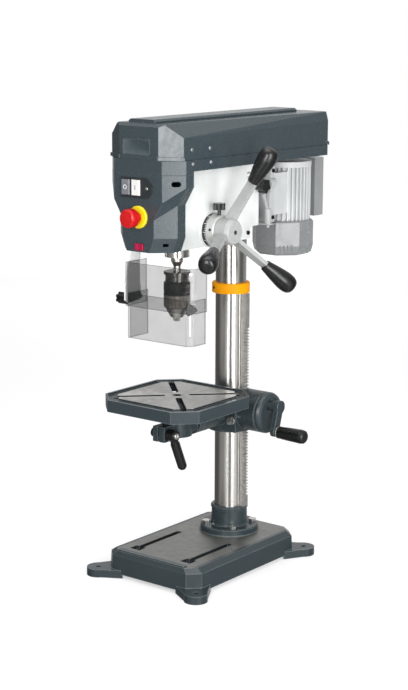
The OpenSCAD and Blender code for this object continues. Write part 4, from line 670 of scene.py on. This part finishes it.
def socket_screw(radius, height):
    """A cap screw with a hexagon socket, sunk a little into what it holds."""
    top = radius * SOCKET_RIM
    side = [(0, -SINK), (radius, -SINK), (radius, height * SCREW_SHOULDER)]
    form = turned_form(side + [(radius * SCREW_CHAMFER, height), (top, height)], SCREW_STEPS)
    rim = [e for e in form.edges if e.is_boundary]
    hexagon = bmesh.ops.create_circle(
        form, segments=6, radius=top * SOCKET_SIZE * MM, matrix=Matrix.Translation((0, 0, height * MM))
    )["verts"]
    sides = list({e for v in hexagon for e in v.link_edges})
    bmesh.ops.bridge_loops(form, edges=rim + sides)
    sunk = bmesh.ops.extrude_edge_only(form, edges=sides)["geom"]
    low = [v for v in sunk if isinstance(v, bmesh.types.BMVert)]
    bmesh.ops.translate(form, verts=low, vec=(0, 0, -height * SOCKET_DEPTH * MM))
    rest = [e for e in sunk if isinstance(e, bmesh.types.BMEdge) and e.is_boundary]
    bmesh.ops.contextual_create(form, geom=rest)
    bmesh.ops.recalc_face_normals(form, faces=form.faces)
    return form


print("forms are sunk by", SINK, "mm into what carries them")

# %% [markdown]
# ### Plates
# Badges, lugs, marks and louvres are small plates with round corners and a softened front. A bevel on
# a cube would round all its edges alike, so a flat grid has its corners rounded first, is raised to
# its thickness, and only then are its front edges softened.

# %% Plates and frames
CORNER_STEPS, EDGE_STEPS = 5, 2


def slab(width, height, thick, corner, edge=0.4):
    """A rounded plate, width along X and height along Y, with softened front edges."""
    form = bmesh.new()
    bmesh.ops.create_grid(form, x_segments=1, y_segments=1, size=0.5 * MM)
    bmesh.ops.scale(form, verts=form.verts, vec=(width, height, 1))
    bmesh.ops.bevel(
        form, geom=list(form.verts), offset=corner * MM, offset_type="OFFSET", segments=CORNER_STEPS,
        profile=0.5, affect="VERTICES", material=-1,
    )
    raised = bmesh.ops.extrude_face_region(form, geom=list(form.faces))["geom"]
    top = [v for v in raised if isinstance(v, bmesh.types.BMVert)]
    bmesh.ops.translate(form, verts=top, vec=(0, 0, thick * MM))
    back = [v for v in form.verts if v.co.z < thick * MM / 2]
    bmesh.ops.translate(form, verts=back, vec=(0, 0, -SINK * MM))
    bmesh.ops.recalc_face_normals(form, faces=form.faces)
    if edge:
        front = max(form.faces, key=lambda f: f.calc_center_median().z)
        bmesh.ops.bevel(
            form, geom=list(front.edges), offset=edge * MM, offset_type="OFFSET", segments=EDGE_STEPS,
            profile=0.5, affect="EDGES", material=-1,
        )
    return form


def sunk_front(form, margin, depth):
    """Insets the front face of a slab and pushes the middle back, which leaves a raised frame."""
    front = max(form.faces, key=lambda f: (round(f.calc_center_median().z, 7), f.calc_area()))
    bmesh.ops.inset_region(form, faces=[front], thickness=margin * MM, use_even_offset=True)
    bmesh.ops.translate(form, verts=list(front.verts), vec=(0, 0, -depth * MM))
    return form


sample = slab(10, 10, 1, 1)
print("faces of a plate:", len(sample.faces))
sample.free()

# %% [markdown]
# ### Placing
# A ray cast at the solid gives the exact point and the way that it faces, so nothing floats or sinks.
# Typed places and angles would have to be found by trial. The place goes into the mesh, and the object
# stays at the origin, as a CAD solid does, so a pattern in metres doesn't slide.

# %% Placing on a surface
UP = Vector((0, 0, 1))
FROM_RIGHT, FROM_LEFT, FROM_FRONT = (-1, 0, 0), (1, 0, 0), (0, 1, 0)
SHARP_EDGE = radians(32)


def spot(node, start, toward):
    """Where a ray from a point in millimetres meets a solid, and the way the surface faces there."""
    hit, place, facing, _ = NODES[node].ray_cast(Vector(start) * MM, Vector(toward).normalized())
    if not hit:
        raise ValueError(f"no surface of {node} from {start} toward {toward}")
    return place, facing


def stand(place, facing, roll=0.0):
    """The matrix that stands a form on a surface, its +Z outward and its +Y as far up as it goes."""
    out = Vector(facing).normalized()
    side = UP.cross(out).normalized()
    turn = Matrix((side, out.cross(side), out)).transposed().to_4x4()
    return Matrix.Translation(place) @ turn @ Matrix.Rotation(roll, 4, "Z")


made = []


def fit(name, form, finish, body, at=None):
    """Turns a bmesh into a finished piece: placed in its mesh, shaded, coated and riding on a body."""
    if at is not None:
        bmesh.ops.transform(form, matrix=at, verts=form.verts)
    mesh = bpy.data.meshes.new(name)
    form.to_mesh(mesh)
    form.free()
    mesh.shade_smooth()
    mesh.set_sharp_from_angle(angle=SHARP_EDGE)
    mesh.materials.append(finish.material)
    thing = bpy.data.objects.new(name, mesh)
    scene.collection.objects.link(thing)
    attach(thing, body)
    made.append(name)
    return thing


screw_zinc = metal("screw_zinc", "#f0f0ee", "#dededb", 0.42, (1, 1, 1), 300)
screw_black = metal("screw_black", "#3a3a3b", "#2a2a2b", 0.32, (1, 1, 1), 300)
screw_grey = metal("screw_grey", "#8a8a89", "#6d6d6c", 0.3, (1, 1, 1), 300)
print("screws in", [f.material.name for f in (screw_zinc, screw_black, screw_grey)])

# %% [markdown]
# ### Covers
# The lid carries a plain badge on its front, a raised frame round a sunken field. A boolean could cut
# the field out, but an inset of the front face, pushed back, leaves cleaner faces. Four zinc screws show
# on the right side, two in the lid and two in the tray, and small moulded lugs mark the ends of the
# parting lip.

# %% Badge, cover screws and lugs
BADGE, BADGE_RIM, BADGE_SUNK = (73, 35, 1.8, 3.2), 1.8, 1.1
LUG = (4.5, 8, 2.2, 1.2)
COVER_SCREW = (3.6, 2.2)

lug_plastic = enamel("lug_plastic", COVER, "#8e999d", 0.28, 0.00003, 0.0008)
place, facing = spot("belt_lid", (-5.5, -400, 970.5), FROM_FRONT)
badge = sunk_front(slab(*BADGE), BADGE_RIM, BADGE_SUNK)
fit("lid_badge", badge, lug_plastic, "lid", stand(place, facing))

for index, y in enumerate((-168, -107)):
    for node, body, z in (("belt_lid", "lid", 965.7), ("belt_tray", "frame", 936.3)):
        place, facing = spot(node, (400, y, z), FROM_RIGHT)
        screw = socket_screw(*COVER_SCREW)
        fit(f"{node}_screw_{index + 1}", screw, screw_zinc, body, stand(place, facing))

lugs = (((-50.0, -400, 948.5), FROM_FRONT), ((53.0, -400, 951), FROM_FRONT), ((400, 330, 949), FROM_RIGHT))
for index, (start, toward) in enumerate(lugs):
    place, facing = spot("belt_lid", start, toward)
    fit(f"lid_lug_{index + 1}", slab(*LUG), lug_plastic, "lid", stand(place, facing))
print("cover fittings:", len(made))

# %% [markdown]
# ### Switch panel
# The two push buttons carry the usual marks, a ring for off and a bar for on. They are printed on the
# real ones, so here they are a fraction of a millimetre thick and ride on their own buttons. A mask in
# the finish could draw them too, but a thin form keeps a crisp border.


# %% Marks on the buttons and plate screw
def ring_form(inner, outer, thick, sunk=0.3):
    """A flat ring with a rectangular section."""
    section = [(inner, -sunk), (outer, -sunk), (outer, thick), (inner, thick), (inner, -sunk)]
    return turned_form(section, 40)


mark_white = moulded("mark_white", "#e6e6e3", 0.45, 0.00001, 0.0001)
mark_dark = moulded("mark_dark", "#2c2e30", 0.45, 0.00001, 0.0001)
place, facing = spot("stop_button", (-29.5, -400, 886), FROM_FRONT)
fit("stop_mark", ring_form(3.4, 4.7, 0.25), mark_white, "stop", stand(place, facing))
place, facing = spot("start_button", (-2, -400, 886), FROM_FRONT)
fit("start_mark", slab(1.5, 9.5, 0.25, 0.5, 0), mark_dark, "start", stand(place, facing))
place, facing = spot("switch_plate", (27, -400, 885), FROM_FRONT)
fit("plate_screw", socket_screw(2.8, 1.5), screw_zinc, "frame", stand(place, facing))
print("switch fittings:", len(made))

# %% [markdown]
# ### Head, feed and motor
# A clamp screw in the head holds the column, a small eye sits under the tray, and more cap screws hold
# the feed hub, the spring cap, the depth ring, the rack's collar, the motor's bracket, the guard and
# the table's lever. They differ in place, size and finish alone, so one list makes them all. bmesh has
# no torus, so the eye is a small circle spun round an axis.


# %% Screws and eye
def eye_form(reach, wire_radius):
    """A ring of round wire."""
    around = [i * 2 * pi / 10 for i in range(11)]
    return turned_form([(reach + wire_radius * cos(a), wire_radius * sin(a)) for a in around], 28)


place, facing = spot("head_casting", (400, 78, 892), FROM_RIGHT)
fit("lifting_eye", eye_form(5.6, 1.5), screw_zinc, "frame", stand(place + facing * MM, facing))
for name, node, body, start, toward, radius, height, finish in (
    ("clamp_screw", "head_casting", "frame", (400, 78, 764), FROM_RIGHT, 4.8, 3.5, screw_black),
    ("hub_screw", "feed_hub", "feed", (400, -57, 784.5), FROM_RIGHT, 4.6, 1.2, screw_grey),
    ("spring_cap_screw", "spring_cap", "frame", (-400, -57, 784.5), FROM_LEFT, 6.0, 3.0, screw_zinc),
    ("collar_screw", "rack_collar", "frame", (-88, -80, 633.5), (0.44, 0.9, 0), 3.2, 1.2, screw_black),
    ("ring_screw", "depth_ring", "depth_ring", (86, -300, 790), FROM_FRONT, 3.0, 0.8, screw_black),
    ("bracket_screw_low", "motor_bracket", "motor", (400, 177, 788), FROM_RIGHT, 4.6, 3.0, screw_black),
    ("bracket_screw_high", "motor_bracket", "motor", (400, 177, 894), FROM_RIGHT, 4.6, 3.0, screw_black),
    ("guard_screw", "guard_upper", "guard", (300, -369, 701), (-1, 1, 0), 3.4, 2.2, screw_zinc),
    ("lever_nut", "table_lever", "table_lever", (400, -145, 338), FROM_RIGHT, 7.0, 4.0, screw_zinc),
):
    place, facing = spot(node, start, toward)
    fit(name, socket_screw(radius, height), finish, body, stand(place, facing))
print("with screws and eye:", len(made))

# %% [markdown]
# ### Louvres
# Four leaning louvres stand on the fan cover's slanted side, where the air goes in. An array could
# repeat one of them, but a ray for each puts it on the true surface.

# %% Louvres on the fan cover
LOUVRE, LOUVRE_SHIFTS, LOUVRE_LEAN = (4.2, 15, 1.6, 2.0, 0.7), (-15, -6, 3, 12), radians(14)
facet = Vector((1, -1, 0)).normalized()
along_facet = Vector((1, 1, 0)).normalized()
for index, shift in enumerate(LOUVRE_SHIFTS):
    start = Vector((0, 300, 707)) + along_facet * shift + facet * 200
    place, facing = spot("fan_cover", start, -facet)
    at = stand(place, facing, LOUVRE_LEAN)
    fit(f"fan_louvre_{index + 1}", slab(*LOUVRE), fan_paint, "motor", at)
print("fittings so far:", len(made))

# %% [markdown]
# ### Crank ferrule
# A bright ring closes the root of the crank's grip. It is a narrow band turned round the grip's own
# axis, so it spins with the grip. A mask could colour the grip's root, but the real band stands a
# little proud of it, so it is a form of its own.

# %% Ferrule on the crank grip
GRIP_ROOT = Vector((148.0, 83.627, 318.946)) * MM
ferrule = turned_form([(11, 0.4), (12.6, 0.4), (13.9, 1.6), (13.9, 3.8), (11, 3.8), (11, 0.4)], 40)
fit("crank_ferrule", ferrule, screw_zinc, "crank_grip", stand(GRIP_ROOT, (1, 0, 0)))
print("fittings:", len(made), made)

# %% [markdown]
# ### Feed grips
# In the CAD the three grips are turned from straight lines, which is enough for a hand to meet, but a
# moulded grip is one smooth swell from its neck to its dome. A spline through the same points gives a
# finer profile, spin turns it, and the angles of the spokes put each copy where the CAD grip is. A
# subdivision surface would also smooth the CAD shape, but it would shrink it. The piece replaces the node.

# %% Three smooth grips
HUB = Vector((97, -57, 784.5)) * MM
SPOKE_TURN, SPOKE_TILT, SPOKE_REACH = 74.9, radians(26.794), 122.096 * MM
GRIP_NECK = [(0, 0), (11.2, 0), (12.2, 0.6)]
GRIP_SWELL = [
    (12.6, 1.6), (14.2, 12), (16.9, 27), (20.0, 48), (21.0, 60), (19.8, 73), (15.6, 81), (8.5, 84.3), (0, 85)
]
SPOKES, GRIP_STEPS = 3, 44


def smooth_line(points, parts=5):
    """A Catmull-Rom curve through points, with that many steps between two of them."""
    ends = [points[0]] + list(points) + [points[-1]]
    line = []
    for a, b, c, d in zip(ends, ends[1:], ends[2:], ends[3:]):
        for step in range(parts):
            u = step / parts
            line.append(tuple(
                0.5 * (
                    2 * q + (r - p) * u + (2 * p - 5 * q + 4 * r - s) * u**2
                    + (3 * q - p - 3 * r + s) * u**3
                )
                for p, q, r, s in zip(a, b, c, d)
            ))
    return line + [points[-1]]


swell = smooth_line(GRIP_SWELL)
grips = bmesh.new()
for index in range(SPOKES):
    grip = turned_form(GRIP_NECK + swell, GRIP_STEPS)
    around = Matrix.Rotation(radians(SPOKE_TURN - 360 / SPOKES * index - 90), 4, "X")
    outward = Matrix.Rotation(SPOKE_TILT, 4, "Y") @ Matrix.Translation((0, 0, SPOKE_REACH))
    bmesh.ops.transform(grip, matrix=Matrix.Translation(HUB) @ around @ outward, verts=grip.verts)
    one = bpy.data.meshes.new("one_grip")
    grip.to_mesh(one)
    grip.free()
    grips.from_mesh(one)
    bpy.data.meshes.remove(one)
feed_set = fit("feed_grip_set", grips, black_plastic, "feed")
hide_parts("feed_grips")

# %% [markdown]
# ## Close
# The number of pieces that were added is printed.

# %% Count the added pieces
print("pieces added:", len(made))
